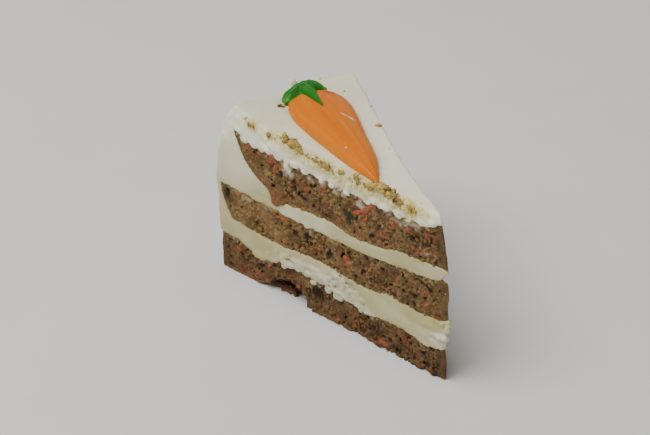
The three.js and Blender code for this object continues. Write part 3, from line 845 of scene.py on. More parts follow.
def lower_filling():
    """The thick lower cream: bulging, smooth in places and torn into lumps in others."""

    def torn(block):
        slanted = block.height - 25 + 0.68 * (54 - block.radius)
        left = (1 - smoothstep(slanted, -1.5, 2)) * (1 - smoothstep(block.radius, 82, 97))
        under_top = lower_filling_top(block.radius, block.side) - block.height
        left *= 1 - 0.8 * smoothstep(block.radius, 58, 64) * (1 - smoothstep(under_top, 2, 5))
        left += bell(block.radius, 0, 8)
        right = bell(block.radius, 40, 14) + bell(block.radius, 100, 16) + bell(block.radius, 0, 9)
        return np.where(block.side < 0, left, right)

    def relief(block):
        near_tip = bell(block.radius, 0, 11)
        fibres = 0.5 * near_tip * block.noise((7, 7, 1.1), 39)
        fibres += 0.5 * bell(block.radius, 0, 5) * block.noise(1.2, 40)
        fibres += 0.45 * bell(block.radius, 0, 3.5) * block.noise(0.85, 41)
        streaks = block.noise((12, 12, 1.5), 34) * (0.16 + 0.4 * near_tip) + fibres
        rough = torn(block)
        lumps = 0.65 * block.noise((4.6, 4.6, 3.2), 31) + 0.6 * block.noise((2.6, 2.6, 1.9), 33)
        lumps += 0.4 * block.noise(1.25, 35)
        own = 0.5 + 0.3 * block.noise(6, 36) + rough * lumps + 0.45 * block.noise(17, 32) + streaks
        return filling_relief(block, own)

    def yellow(block):
        streaks = 0.16 * block.noise((14, 14, 1.4), 38)
        upper = 0.7 * smoothstep(block.height, 20.5, 26) * bell(block.radius, 4, 16)
        upper -= 0.4 * bell(block.radius, 0, 6)
        whole = 0.85 - 0.4 * torn(block) + upper + 0.12 * block.noise(8, 37) + streaks
        return at_rim(block, whole)

    block = cream_block(8, 34, relief, yellow)
    shape = np.maximum(block.shown, block.radius - lower_filling_rim(block.height))
    shape = np.maximum(shape, block.height - lower_seam(block) - OVERLAP)
    shape = np.maximum(shape, bottom_seam(block) - OVERLAP - block.height)
    block.hold(shape)
    yellow_edge = smoothstep(block.height, 18, 25) * bell(block.radius, 3, 11)
    # The torn lumps' share of the torn colour, which on the filling is painted shade between them.
    block.paint["rough"] = (0.6 * np.clip(torn(block), 0, 1) * (1 - yellow_edge)).astype(np.float32)
    for radius, under, size in (
        (3, 2.2, 1.3), (6, 1.6, 1.6), (9.5, 1.4, 1.6), (13, 1.2, 1.5), (25, 1, 1.6), (31, 1, 1.6),
    ):
        stain(block, radius, lower_filling_top(radius, LEFT) - under, size, oil=0.3)
    for side, low_radius, high_radius, count in (
        (LEFT, 42, 95, 240), (RIGHT, 26, 56, 120), (RIGHT, 84, 116, 120),
    ):
        for _ in range(count):
            radius = low_radius + (high_radius - low_radius) * random.random()
            low = bottom_sponge_top(radius, side)
            height = low + 0.2 + (lower_filling_top(radius, side) - low - 1.4) * random.random() ** 1.3
            top_of_torn = 25 if radius < 60 else 22
            if side < 0 and height > min(top_of_torn, 25.5 - 0.68 * (54 - radius)):
                continue
            size = 0.35 + 0.95 * random.random() ** 2
            centre = on_slice(radius, side, height, 0.3 + 0.7 * random.random())
            radii = (size * (1.2 + random.random()), size, 0.8 * size)
            block.stamp(centre, radii, face_turn(side, 25 * random.normal()), blend=0.3)
    each(
        lump, block,
        (100.5, 14.8, 6.4, 3.6), (98, 14.4, 4, 3), (94, 15.8, 3, 2), (62, 14.4, 3.6, 3),
        (57.6, 13.6, 3.4, 3), (55.4, 13.4, 3.2, 2.6), (50, 15, 3, 1.6), (44.4, 13, 2.6, 2),
        (41.6, 13.2, 2, 1.6), (39.4, 13.6, 2, 1.6), (31, 13, 2.6, 1.6), (70, 14.6, 3.4, 2.4),
        (86, 15.2, 3, 2),
        out=0.5, thick=0.9,
    )
    return block


def upper_filling():
    """The thin upper cream, cut smooth with faint strokes of the knife."""

    def relief(block):
        streaks = block.noise((13, 13, 1.3), 43)
        own = 0.25 + 0.3 * block.noise(15, 61) + 0.2 * block.noise(5, 42) + 0.16 * streaks
        return filling_relief(block, own)

    def yellow(block):
        streaks = 0.14 * block.noise((14, 14, 1.3), 45)
        whole = 0.8 + 0.12 * block.noise(10, 44) + streaks
        return at_rim(block, whole * (1 - 0.4 * bell(block.radius, 80, 16)))

    block = cream_block(37, 56, relief, yellow)
    chamfer = block.tip + 0.8 * np.maximum(50.4 - block.height, 0)
    shape = np.maximum(smooth_max(block.shown, chamfer, 0.8), block.radius - upper_filling_rim(block.height))
    shape = np.maximum(shape, block.height - upper_seam(block) - OVERLAP)
    shape = np.maximum(shape, middle_seam(block) - OVERLAP - block.height)
    block.hold(shape)
    each(
        lump, block,
        (74, 40.2, 3.4, 2.4), (86, 41, 4, 1.6), (100, 42, 5, 1.8),
        out=0.1,
    )
    return block


def halo(block):
    """The frosting's orange tinge close round the carrot's foot."""
    points, _, _, paint = carrot()
    foot = points[(paint[:, 0] > 0.9) & (paint[:, 0] < 1.0)]
    for centre in foot[::6]:
        block.tint(centre, 1.1, orange=0.5)


def frosting():
    """The coat over the top and down the rim, rough and white where the knife broke it."""

    def torn(block):
        top = rounded_top(block.radius, block.side)
        return smoothstep(block.height, 62, 66.5) * (1 - smoothstep(block.height, top - 1.6, top + 0.6))

    def relief(block):
        lobes = 0.65 * block.noise((4.6, 4.6, 8.5), 62) + 0.24 * block.noise(2.8, 63)
        lobes += 0.09 * block.noise(1.3, 65)
        over_sponge = block.height - top_sponge_top(block.radius, block.side)
        return coat_relief(block) + torn(block) * (lobes + 0.3) * smoothstep(over_sponge, -0.4, 2.4)

    block = cream_block(14, 82, relief, coat_yellow_and_shade)
    top = rounded_top(block.radius, block.side) + 0.16 * block.noise(15, 66) + 0.05 * block.noise(5, 67)
    along_edge = smoothstep(block.radius, 4, 16) - 0.9 * smoothstep(block.radius, 97, 111)
    worn = 1.2 + 3.0 * smoothstep(-block.side, 0.2, 0.8) * along_edge
    levels = [block.height < s(block) for s in (lower_seam, middle_seam, upper_seam)]
    in_filling = levels[0] | (levels[2] & ~levels[1])
    drawn = drawn_over(block)
    shown = block.shown + BURIED * np.clip(1 - 2 * drawn, 0, 1) * in_filling
    outer = smooth_max(shown, block.height - top, worn)
    strokes = 0.3 * block.noise((16, 16, 5), 68) + 0.1 * block.noise((9, 9, 1.8), 70)
    strokes += 0.1 * block.noise(4, 69)
    outer = np.maximum(outer, block.radius - coat_rim(block.height) - strokes)
    outer = np.maximum(outer, bottom_seam(block) - OVERLAP - block.height)
    rims = [rim(block.height) for rim in (lower_filling_rim, middle_sponge_rim, upper_filling_rim)]
    cake_rim = np.select(levels, rims, top_sponge_rim(block.height))
    core = np.maximum(block.radius - cake_rim, block.height - top_seam(block))
    skin = block.shown + (BURIED + 0.6) * smoothstep(drawn, 0, 0.1)
    core = np.where(in_filling, np.maximum(core, skin), core)
    block.hold(np.maximum(outer, -core - OVERLAP))
    block.paint["rough"] = (torn(block) * near_cut(block)).astype(np.float32)
    each(
        lump, block,
        (107, 68.4, 5, 4, 0), (102, 67.8, 4.6, 4, 0), (98, 67.6, 3.4, 4.4, 0), (94, 67.4, 4, 3, 0),
        (84.6, 64.6, 3.0, 5.4, 12), (83, 62.2, 2, 2.6, 0), (89, 66.4, 4, 2.6, 0), (75, 65.4, 4, 2.2, 0),
        (66, 65, 2.4, 2.8, 0), (61, 65, 3, 2.4, 0), (49.4, 63.6, 3, 3.2, 0), (46.2, 62.6, 3.2, 3.2, 0),
        (53, 65, 3.4, 2.2, 0), (42, 65.4, 3, 2, 0), (33, 66.4, 3, 1.8, 0), (26, 66, 2.6, 2, 0),
        (21, 66.6, 2.4, 1.8, 0), (12, 68.4, 3, 1.8, 0),
        out=0.15, thick=0.75,
    )
    for _ in range(150):
        side = LEFT if random.random() < 0.6 else RIGHT
        radius = 8 + 104 * random.random()
        low = top_sponge_top(radius, side)
        height = low + (frosting_top(radius, side) - low - 3.0) * random.random() ** 1.4
        size = 0.5 + 1.1 * random.random() ** 2
        height = max(height, low + 0.55 * size)
        centre = on_slice(radius, side, height, -0.3 * size + 0.5 * random.random())
        block.stamp(centre, (size * 1.5, size, size), random_turn(), blend=0.7)
    for radius, inward, count, spread in (
        (103, -2.8, 8, 1.2), (93, -1.2, 6, 1.0), (86, -0.6, 14, 2.2), (79, -1.6, 10, 1.8),
        (72, -1.6, 30, 2.2), (66, -2.0, 30, 2.2), (62, -2.6, 16, 1.8), (56, -2.0, 14, 2.0),
        (51, -2.4, 18, 2.2), (46, -2.6, 20, 2.0), (40, -2.0, 22, 2.4), (34, -1.6, 20, 2.4),
        (28, -1.8, 20, 2.2), (23, -2.2, 16, 2.0), (19, -3.0, 12, 1.6),
    ):
        for _ in range(count):
            centre = edge_place(radius + spread * random.normal(), inward + 1.0 * random.normal())
            block.tint(centre, 1.2 + 1.2 * random.random(), oil=0.5 + 0.5 * random.random())
    for radius, height, size in ((12, 72.4, 1.4), (19.3, 71.6, 1.6), (21.8, 72.6, 1.8)):
        stain(block, radius, height, size, oil=1.0)
    for x, y, size, above in (
        (14.6, 114, 1.6, 0.7), (17, 113.6, 1.2, 0.4), (12.4, 114.6, 1, 0.3),
        (-13, 113.6, 0.7, 0.1), (-17.6, 113.2, 0.9, 0.1), (-22, 112, 0.7, 0.2), (-26.4, 110.6, 0.8, 0.2),
    ):
        block.stamp(on_top(x, y, above), (size, 0.8 * size, 0.75 * size), random_turn(), blend=0.8)
    for _ in range(26):
        rise = random.random()
        shift = (1 - 0.75 * rise) * random.normal(size=2)
        centre = on_top(2.4 + 1.2 * shift[0], 114.4 + 0.7 * shift[1], 3.8 * rise)
        block.stamp(centre, 1.2 - 0.5 * rise, blend=0.35)
    for radius, height, side, size in ((4.2, 75.0, -0.4, 1.5), (3.2, 76.0, 0.2, 1.0), (2.6, 76.6, 0.3, 0.6)):
        block.stamp(on_slice(radius, side, height), (size, size, 0.8 * size), blend=0.8)
    halo(block)
    for x, y in ((-8.8, 104.4), (-9.4, 102.8), (-7.4, 105.8)):
        block.tint(on_top(x, y, 0), 1.2, oil=0.5)
    return block


# ---- Piped icing ----


def stroke(start, end, wide, bend, height, lift, rows, columns, ridge):
    """A stroke of icing piped on the frosting, as in the part: points, faces, and each point's place on it.

    Its lower half lies in the frosting. `ridge` gives the height of the lengthwise ridges that the nozzle
    leaves, from the place along the stroke and across it.
    """
    start = np.array(start, float)
    way = np.array(end, float) - start
    right = np.array([way[1], -way[0]]) / np.hypot(*way)
    along = 0.5 - 0.5 * np.cos(np.pi * (np.arange(1, rows) / rows))
    turn = 2 * np.pi * np.arange(columns) / columns
    along, turn = (a.ravel() for a in np.meshgrid(along, turn, indexing="ij"))
    along = np.concatenate([[0], along, [1]])
    turn = np.concatenate([[0], turn, [0]])
    across, upwards = np.cos(turn), np.sin(turn)
    closed = (along > 0) & (along < 1)
    aside = bend(along) + wide(along) * across * closed
    place = start + along[:, None] * way + aside[:, None] * right
    dome = np.clip(upwards, 0, 1) ** 0.85
    rise = np.where(upwards > 0, (height(along) + ridge(along, across)) * dome, 0.9 * upwards) * closed
    z = top_height(place[:, 0], place[:, 1]) + lift + rise
    points = np.column_stack([place, z])
    grid = 1 + np.arange((rows - 1) * columns).reshape(rows - 1, columns)
    beside = np.roll(grid, -1, axis=1)
    quads = np.stack([grid[:-1], grid[1:], beside[1:], beside[:-1]], axis=-1).reshape(-1, 4)
    last = len(points) - 1
    first_fan = np.stack([np.zeros(columns, int), grid[0], beside[0]], axis=-1)
    last_fan = np.stack([np.full(columns, last), beside[-1], grid[-1]], axis=-1)
    edge = np.clip(1 - upwards, 0, 1)
    paint = np.column_stack([edge, along, 0.5 + 0.5 * across, np.zeros(len(points))])
    return points, np.concatenate([first_fan, last_fan]), quads, paint


def carrot_ridges(along, across):
    """Low streaks that fan out over the head, and the crease with a bright ridge beside it at the point."""
    fan = 0.05 * np.sin(11 * across + 1.0) + 0.03 * np.sin(19 * across + 4 * along)
    near_point = bell(along, 0.06, 0.2)
    crest = 0.5 * bell(across, 0.1, 0.16) * near_point
    crease = 0.45 * bell(across, -0.2, 0.14) * near_point
    return fan * bell(along, 0.4, 0.4) + crest - crease


# Marks on the carrot: x, y, size, and how strongly red or, if negative, how strongly cream-white.
CARROT_MARKS = (
    (-13.0, 86.2, 0.9, 0.9),
    (8.4, 99.4, 1.1, 0.8),
    (9.4, 98.2, 1.2, 0.9),
    (10.3, 96.6, 1.0, 0.8),
    (5.4, 86.8, 0.5, 0.6),
    (4.2, 80.9, 0.45, -0.7),
    (4.7, 80.0, 0.5, -0.9),
    (5.2, 79.0, 0.45, -0.6),
    (5.6, 78.0, 0.45, -0.7),
    (6.0, 77.0, 0.55, -1.0),
    (6.4, 76.0, 0.45, -0.8),
    (6.8, 75.0, 0.4, -0.6),
    (-7.1, 61.2, 0.45, -0.9),
)


def carrot():
    """The piped carrot, from its point to its head: its points, triangles, quads and paint."""
    wide = through(
        (0, 0.3), (0.07, 2.2), (0.17, 4.9), (0.48, 9.6), (0.64, 11.8), (0.78, 12.9), (0.87, 11.8),
        (0.94, 8.6), (1, 0.3),
    )
    bend = through((0, 0), (0.17, 0.9), (0.5, 0.9), (1, 0.8))
    height = through((0, 0.6), (0.07, 2.2), (0.2, 4), (0.55, 5.4), (0.8, 4.8), (0.92, 3.6), (1, 1))
    made = stroke((-7.6, 38), (3.4, 107.6), wide, bend, height, 0.15, 180, 150, carrot_ridges)
    points, paint = made[0], made[3]
    for x, y, size, strength in CARROT_MARKS:
        paint[:, 3] += strength * bell(np.hypot(points[:, 0] - x, points[:, 1] - y), 0, size)
    return made


class Lobe:
    """A lobe of the leaf, as in the part, in a block: its distances, and each point's place on it."""

    def __init__(self, block, start, end, wide, bend, height, lift, yellow_end):
        x, y, z = (a.astype(np.float32) for a in np.meshgrid(*block.axes, indexing="ij", sparse=True))
        start = np.array(start, float)
        way = np.array(end, float) - start
        length = np.hypot(*way)
        right = np.array([way[1], -way[0]]) / length
        place = ((x - start[0]) * way[0] + (y - start[1]) * way[1]) / length**2
        self.along = np.clip(place, 0, 1)
        half = wide(self.along)
        aside = (x - start[0]) * right[0] + (y - start[1]) * right[1] - bend(self.along)
        self.across = aside / half
        past_end = (place - self.along) * length / half
        ridges = 0.3 * np.cos(7.5 * self.across + 0.8) + 0.12 * np.cos(19 * self.across + 3 * self.along)
        high = height(self.along) + ridges * np.sin(np.pi * self.along)
        up = np.maximum(z - top_height(x, y) - lift, 0) / high
        self.edge = 1 - np.clip(up, 0, 1)
        self.distance = (np.sqrt(self.across**2 + past_end**2 + up**2) - 1) * np.minimum(half, high)
        self.yellow = yellow_end * smoothstep(self.along, 0.8, 1.0)


def leaf():
    """The leaf: three lobes run together, ridged by the nozzle."""
    block = Block((-14, 84, 72), (17, 118, 88), 0.25 * COARSER)
    lobes = [
        Lobe(
            block, (8, 110.8), (-8, 103.4),
            through((0, 1), (0.15, 2.9), (0.5, 3.3), (0.85, 3.3), (0.96, 2.2), (1, 0.8)),
            through((0, 0), (0.5, 0.6), (1, 0)),
            through((0, 3), (0.5, 3.7), (0.85, 3.2), (1, 1.5)),
            0.45, 0.35,
        ),
        Lobe(
            block, (6.2, 113), (0.4, 89.2),
            through((0, 0.6), (0.12, 3.4), (0.35, 4), (0.6, 2.8), (0.85, 1.3), (1, 0.45)),
            through((0, 0), (0.5, 0.9), (1, 0)),
            through((0, 1.6), (0.25, 3.8), (0.6, 6.2), (0.85, 6.7), (1, 5.8)),
            0.5, 0.0,
        ),
        Lobe(
            block, (5, 111.6), (12, 104.4),
            through((0, 0.6), (0.3, 2.7), (0.7, 1.8), (1, 0.6)),
            through((0, 0), (0.5, -0.8), (1, 0)),
            through((0, 2.6), (0.5, 3), (1, 1.4)),
            0.5, 0.85,
        ),
    ]
    nearest = np.argmin(np.stack([lobe.distance for lobe in lobes]), axis=0)
    shape = lobes[0].distance
    for lobe in lobes[1:]:
        shape = smooth_min(shape, lobe.distance, 0.7)
    x, y, z = (a.astype(np.float32) for a in np.meshgrid(*block.axes, indexing="ij", sparse=True))
    shape = np.maximum(shape, top_height(x, y) - 0.9 - z)
    block.hold(shape)
    for name in ("edge", "along", "across", "yellow"):
        values = [np.broadcast_to(getattr(lobe, name), block.shape) for lobe in lobes]
        block.paint[name] = np.choose(nearest, values).astype(np.float32)
    block.paint["across"] = 0.5 + 0.5 * np.clip(block.paint["across"], -1, 1)
    groove = on_top(-1.5, 101.6, 1.6)
    block.stamp(groove, (3.0, 0.7, 1.3), flat_turn(20), carve=True, blend=0.5, spill=0)
    return block


# ---- Crumbs ----


def edge_place(radius, inward):
    """A place by the frosting's left top edge, `inward` millimetres in, or down the cut face if negative."""
    top = frosting_top(radius, LEFT)
    if inward < 0:
        return on_slice(radius, LEFT, top + inward, 0.35)
    point = on_slice(radius, LEFT, top, 0)
    point[0] += inward
    point[2] = top_height(point[0], point[1])
    return point


def cluster(block, radius, inward, count, spread_along, spread_in, size, pile):
    """A clump of cake crumbs on the frosting's left top edge, up to `pile` millimetres high."""
    for _ in range(count):
        spot_radius = radius + spread_along * random.normal()
        place = edge_place(spot_radius, inward + spread_in * random.normal())
        grain = size * (0.45 + 1.0 * random.random() ** 3)
        place = place + np.array([0, 0, pile * random.random()])
        tone = 0.1 + 0.9 * random.random()
        radii = (grain * 1.4, grain, grain * 0.9)
        block.stamp(place, radii, random_turn(), blend=0.12, tone=tone, dark=float(random.random() < 0.05))


def crumbs():
    """Cake crumbs that the knife dragged along the frosting's edge, and strays on the top."""
    block = Block((-34, -3, 62), (26, 122, 84), 0.3 * COARSER)
    block.channel("tone", 0.5)
    each(
        cluster, block,
        (105.6, -1.4, 3, 0.3, 0.3, 0.45, 0.2), (103, -2.9, 16, 1.1, 0.7, 0.45, 0.4),
        (101, -3.2, 8, 0.7, 0.5, 0.4, 0.3), (93.4, -1.2, 10, 0.7, 0.6, 0.45, 0.4),
        (91, -0.6, 8, 1.0, 0.8, 0.35, 0.2), (87.4, 1.5, 44, 0.8, 0.8, 0.5, 1.8),
        (85, 1.0, 40, 1.0, 0.7, 0.6, 1.2), (81.8, 0.6, 66, 1.2, 0.8, 0.75, 1.4),
        (79.6, 0.2, 30, 0.8, 0.6, 0.6, 1.2), (77, -1.2, 12, 0.9, 0.8, 0.4, 0.4),
        (72.5, -1.4, 24, 1.6, 1.0, 0.32, 0.4), (68, -1.8, 46, 1.4, 0.9, 0.42, 0.5),
        (64.4, -1.8, 70, 1.2, 0.8, 0.5, 0.6), (62, -2.6, 16, 1.0, 0.8, 0.4, 0.3),
        (60, -3.4, 14, 1.0, 0.6, 0.35, 0.2), (56, -0.8, 26, 0.9, 0.7, 0.42, 0.6),
        (52.4, -1.4, 14, 1.2, 0.7, 0.35, 0.3), (48, -0.6, 36, 0.6, 0.6, 0.45, 1.8),
        (46.4, -2.4, 34, 0.8, 1.2, 0.45, 0.5), (41.6, -1.2, 56, 1.2, 0.9, 0.5, 0.9),
        (38, 0.0, 80, 1.4, 0.8, 0.55, 1.6), (34.8, 0.6, 70, 1.2, 0.7, 0.6, 1.9),
        (31.6, -1.0, 50, 1.1, 0.9, 0.5, 1.0), (29.4, 0.3, 40, 0.7, 0.5, 0.5, 2.6),
        (26.4, -2.0, 50, 1.3, 0.9, 0.5, 0.8), (22, -2.6, 46, 1.5, 0.8, 0.45, 0.6),
        (18.4, -3.0, 22, 1.2, 0.8, 0.4, 0.3), (13, -2.4, 5, 1.6, 0.8, 0.3, 0.1),
    )
    for x, y, size, tone, dark in (
        (-10.5, 103.2, 1.0, 0.0, 0.7),
        (-9.9, 102.7, 0.6, 0.3, 0.2),
        (16.1, 72.5, 0.85, 0.4, 0.0),
        (15.3, 73.0, 0.5, 0.7, 0.0),
        (21.8, 86.0, 0.4, 0.8, 0.0),
        (18.5, 100.8, 0.4, 0.7, 0.0),
        (10.8, 57.2, 0.35, 0.6, 0.0),
        (-2.5, 17.1, 0.45, 0.9, 0.0),
        (-3.2, 17.2, 0.3, 0.9, 0.0),
    ):
        for _ in range(4):
            shift = 0.45 * size * random.normal(size=2)
            centre = (x + shift[0], y + shift[1], top_height(x, y) + 0.35 * size)
            radii = (size, 0.75 * size, 0.6 * size)
            block.stamp(centre, radii, random_turn(), blend=0.1, tone=tone, dark=dark)
    for x, y, long in ((-19.7, 82.4, 1.0), (-18.6, 82.2, 0.9), (-17.3, 81.8, 0.7)):
        block.stamp(on_top(x, y, 0), (long, 0.4, 0.22), flat_turn(-15), blend=0.2, tone=0.2, dark=0.3)
    block.distance += 0.16 * block.noise(0.9, 71) * (block.distance < 1)
    return block


# ---- Materials ----


def linear(*srgb):
    """A colour given by its 0 to 255 screen values, as Blender's linear RGBA."""
    values = [v / 255 for v in srgb]
    return [v / 12.92 if v <= 0.04045 else ((v + 0.055) / 1.055) ** 2.4 for v in values] + [1.0]


class Recipe:
    """A node material in the making."""

    def __init__(self, name):
        self.material = bpy.data.materials.new(name)
        self.material.use_nodes = True
        self.tree = self.material.node_tree
        self.tree.nodes.clear()
        self.shader = self.add("ShaderNodeBsdfPrincipled")
        output = self.add("ShaderNodeOutputMaterial")
        self.tree.links.new(self.shader.outputs["BSDF"], output.inputs["Surface"])
        self.place = self.add("ShaderNodeTexCoord").outputs["Object"]

    def add(self, kind, **properties):
        node = self.tree.nodes.new(kind)
        for key, value in properties.items():
            setattr(node, key, value)
        return node

    def plug(self, socket, value):
        """Links a node's output to a socket, or sets the socket's own value."""
        if isinstance(value, bpy.types.NodeSocket):
            self.tree.links.new(value, socket)
        else:
            socket.default_value = value

    def noise(self, size_mm, detail=2.0, roughness=0.5):
        """Noise from 0 to 1 in bumps about `size_mm` wide."""
        texture = self.add("ShaderNodeTexNoise")
        self.plug(texture.inputs["Vector"], self.place)
        texture.inputs["Scale"].default_value = 1 / (size_mm * MM)
        texture.inputs["Detail"].default_value = detail
        texture.inputs["Roughness"].default_value = roughness
        return texture.outputs["Fac"]

    def attribute(self, name):
        """The four channels of a colour attribute."""
        found = self.add("ShaderNodeAttribute", attribute_name=name)
        parts = self.add("ShaderNodeSeparateColor")
        self.plug(parts.inputs["Color"], found.outputs["Color"])
        return [parts.outputs["Red"], parts.outputs["Green"], parts.outputs["Blue"], found.outputs["Alpha"]]

    def math(self, operation, a, b=0.0, clamp=False):
        node = self.add("ShaderNodeMath", operation=operation, use_clamp=clamp)
        self.plug(node.inputs[0], a)
        self.plug(node.inputs[1], b)
        return node.outputs["Value"]

    def times(self, a, b, clamp=False):
        return self.math("MULTIPLY", a, b, clamp)

    def plus(self, a, b):
        return self.math("ADD", a, b)

    def vary(self, value, noise, amount, clamp=False):
        """A value moved up and down by noise."""
        return self.math("ADD", value, self.times(self.math("SUBTRACT", noise, 0.5), amount), clamp)

    def range(self, value, low, high, to_low=0.0, to_high=1.0):
        node = self.add("ShaderNodeMapRange")
        self.plug(node.inputs["Value"], value)
        node.inputs["From Min"].default_value = low
        node.inputs["From Max"].default_value = high
        node.inputs["To Min"].default_value = to_low
        node.inputs["To Max"].default_value = to_high
        return node.outputs["Result"]

    def mix(self, share, a, b):
        """Colour `a`, with a share of colour `b`; the colours' sockets are the node's 6th and 7th."""
        node = self.add("ShaderNodeMix", data_type="RGBA")
        self.plug(node.inputs[0], share)
        self.plug(node.inputs[6], a)
        self.plug(node.inputs[7], b)
        return node.outputs[2]

    def ramp(self, value, *stops):
        """A colour from stops, each a position and the colour's 0 to 255 screen values."""
        node = self.add("ShaderNodeValToRGB")
        self.plug(node.inputs["Fac"], value)
        while len(node.color_ramp.elements) < len(stops):
            node.color_ramp.elements.new(0.5)
        for element, (position, colour) in zip(node.color_ramp.elements, stops):
            element.position = position
            element.color = linear(*colour)
        return node.outputs["Color"]

    def bump(self, height, distance_mm, strength):
        node = self.add("ShaderNodeBump")
        node.inputs["Strength"].default_value = strength
        node.inputs["Distance"].default_value = distance_mm * MM
        self.plug(node.inputs["Height"], height)
        self.plug(self.shader.inputs["Normal"], node.outputs["Normal"])

    def set(self, **values):
        """Sets the shader's sockets: base_color becomes Base Color."""
        names = {i.name.lower().replace(" ", "_"): i for i in self.shader.inputs}
        for key, value in values.items():
            self.plug(names[key], value)
        return self.material


def sponge_material(name, dark, middle, light):
    """Cake crumb from its tone, with the painted shade of pores and hollows, carrot, dark bits, green, baked
    crust and cream painted in.
    """
    recipe = Recipe(name)
    tone, pore, carrot_share, dark_share = recipe.attribute("crumb")
    cream_share, green, crust, damp = recipe.attribute("stain")
    fine = recipe.noise(0.75, 3.0, 0.62)
    patch = recipe.noise(3.2, 2.0)
    value = recipe.vary(recipe.vary(tone, fine, 0.85), patch, 0.35)
    colour = recipe.ramp(value, (0.0, dark), (0.45, middle), (1.0, light))
    baked = recipe.ramp(value, (0.0, (58, 38, 22)), (0.5, (99, 71, 42)), (1.0, (138, 104, 64)))
    colour = recipe.mix(crust, colour, baked)
    soaked = recipe.ramp(value, (0.0, (92, 66, 26)), (0.5, (142, 116, 58)), (1.0, (190, 166, 96)))
    colour = recipe.mix(recipe.times(damp, 0.7), colour, soaked)
    shredded = recipe.ramp(fine, (0.3, (132, 54, 36)), (0.65, (198, 102, 72)))
    colour = recipe.mix(recipe.times(carrot_share, 0.8), colour, shredded)
    # Painted shade of pores and hollows: the pore channel darkens the crumb towards deep brown.
    colour = recipe.mix(recipe.times(pore, 0.55), colour, recipe.mix(0.8, colour, linear(44, 26, 14)))
    colour = recipe.mix(recipe.times(dark_share, 0.85), colour, linear(34, 27, 25))
    colour = recipe.mix(recipe.times(green, 0.8), colour, linear(30, 46, 28))
    rubbed = recipe.times(cream_share, recipe.range(patch, 0.3, 0.6, 0.35, 1.3), clamp=True)
    colour = recipe.mix(rubbed, colour, linear(222, 214, 186))
    height = recipe.plus(recipe.noise(0.55, 3.0, 0.7), recipe.times(recipe.noise(1.4), 0.8))
    recipe.bump(height, 0.22, 0.7)
    roughness = recipe.range(fine, 0.3, 0.7, 0.95, 0.68)
    return recipe.set(base_color=colour, roughness=roughness, specular_ior_level=0.32)


def cream_material(name, plain, warm, torn):
    """Cream cheese icing: yellower in places, which on the coat is partly painted shade; paler where the
    frosting is torn, darker where the filling is torn, as painted shade between its lumps; and stained by
    oily crumbs.
    """
    recipe = Recipe(name)
    yellow, rough, oil, orange = recipe.attribute("cream")
    patch = recipe.noise(9, 3.0)
    share = recipe.vary(yellow, patch, 0.3, clamp=True)
    colour = recipe.mix(share, linear(*plain), linear(*warm))
    torn_tint_and_shade = recipe.times(rough, recipe.range(recipe.noise(3.0), 0.3, 0.6, 0.3, 1.0), clamp=True)
    # Where the cream is torn: on the frosting a paler colour, on the filling a darker one that paints the
    # shade between its lumps.
    colour = recipe.mix(torn_tint_and_shade, colour, linear(*torn))
    stained = recipe.times(oil, recipe.range(recipe.noise(1.3, 3.0), 0.35, 0.6, 0.5, 1.2), clamp=True)
    colour = recipe.mix(stained, colour, linear(202, 184, 86))
    colour = recipe.mix(orange, colour, linear(222, 160, 92))
    height = recipe.plus(recipe.noise(0.8, 3.0, 0.6), recipe.times(recipe.noise(3.5, 2.0), 1.5))
    recipe.bump(height, 0.1, 0.6)
    roughness = recipe.range(recipe.noise(5, 2.0), 0.3, 0.7, 0.42, 0.62)
    return recipe.set(
        base_color=colour,
        roughness=roughness,
        specular_ior_level=0.4,
        subsurface_weight=0.35,
        subsurface_scale=0.0025,
        subsurface_radius=(1.0, 0.8, 0.5),
    )


def icing_material(name, body, edge, streak, mark, edge_share):
    """Glossy piped icing: thinner at its edges, with lengthwise streaks, marks and pale cream-white spots."""
    recipe = Recipe(name)
    at_edge, along, across, marked = recipe.attribute("stroke")
    fan = recipe.add("ShaderNodeTexNoise", noise_dimensions="2D")
    plan = recipe.add("ShaderNodeCombineXYZ")
    recipe.plug(plan.inputs["X"], recipe.times(across, 9.0))
    recipe.plug(plan.inputs["Y"], recipe.times(along, 1.3))
    recipe.plug(fan.inputs["Vector"], plan.outputs["Vector"])
    fan.inputs["Scale"].default_value = 1.0
    streaks = recipe.range(fan.outputs["Fac"], 0.35, 0.75)
    colour = recipe.mix(recipe.times(streaks, 0.6), linear(*body), linear(*streak))
    shade = recipe.range(at_edge, 0.45, 0.95)
    colour = recipe.mix(recipe.times(shade, edge_share), colour, linear(*edge))
    mottle = recipe.noise(2.2, 2.0)
    colour = recipe.mix(recipe.range(mottle, 0.55, 0.8, 0.0, 0.15), colour, linear(*edge))
    colour = recipe.mix(recipe.range(marked, 0.1, 0.9), colour, linear(*mark))
    colour = recipe.mix(recipe.range(marked, -0.2, -0.7), colour, linear(250, 226, 196))
    height = recipe.plus(fan.outputs["Fac"], recipe.times(recipe.noise(1.6), 0.12))
    recipe.bump(height, 0.12, 0.5)
    return recipe.set(
        base_color=colour,
        roughness=recipe.range(recipe.noise(3.0), 0.3, 0.7, 0.24, 0.36),
        specular_ior_level=0.18,
        subsurface_weight=0.12,
        subsurface_scale=0.002,
        subsurface_radius=(1.0, 0.5, 0.2),
    )


def crumb_material():
    """Loose crumbs of cake, oily yellow-brown on the cream."""
    recipe = Recipe("crumbs")
    tone, dark_share, _, _ = recipe.attribute("crumb")
    fine = recipe.noise(0.6, 3.0, 0.6)
    value = recipe.plus(tone, recipe.math("SUBTRACT", fine, 0.5))
    colour = recipe.ramp(value, (0.0, (112, 84, 34)), (0.45, (168, 137, 64)), (1.0, (210, 185, 102)))
    colour = recipe.mix(dark_share, colour, linear(48, 30, 20))
    recipe.bump(recipe.noise(0.5, 3.0, 0.7), 0.2, 0.8)
    roughness = recipe.range(fine, 0.3, 0.7, 0.85, 0.55)
    return recipe.set(base_color=colour, roughness=roughness, specular_ior_level=0.4)


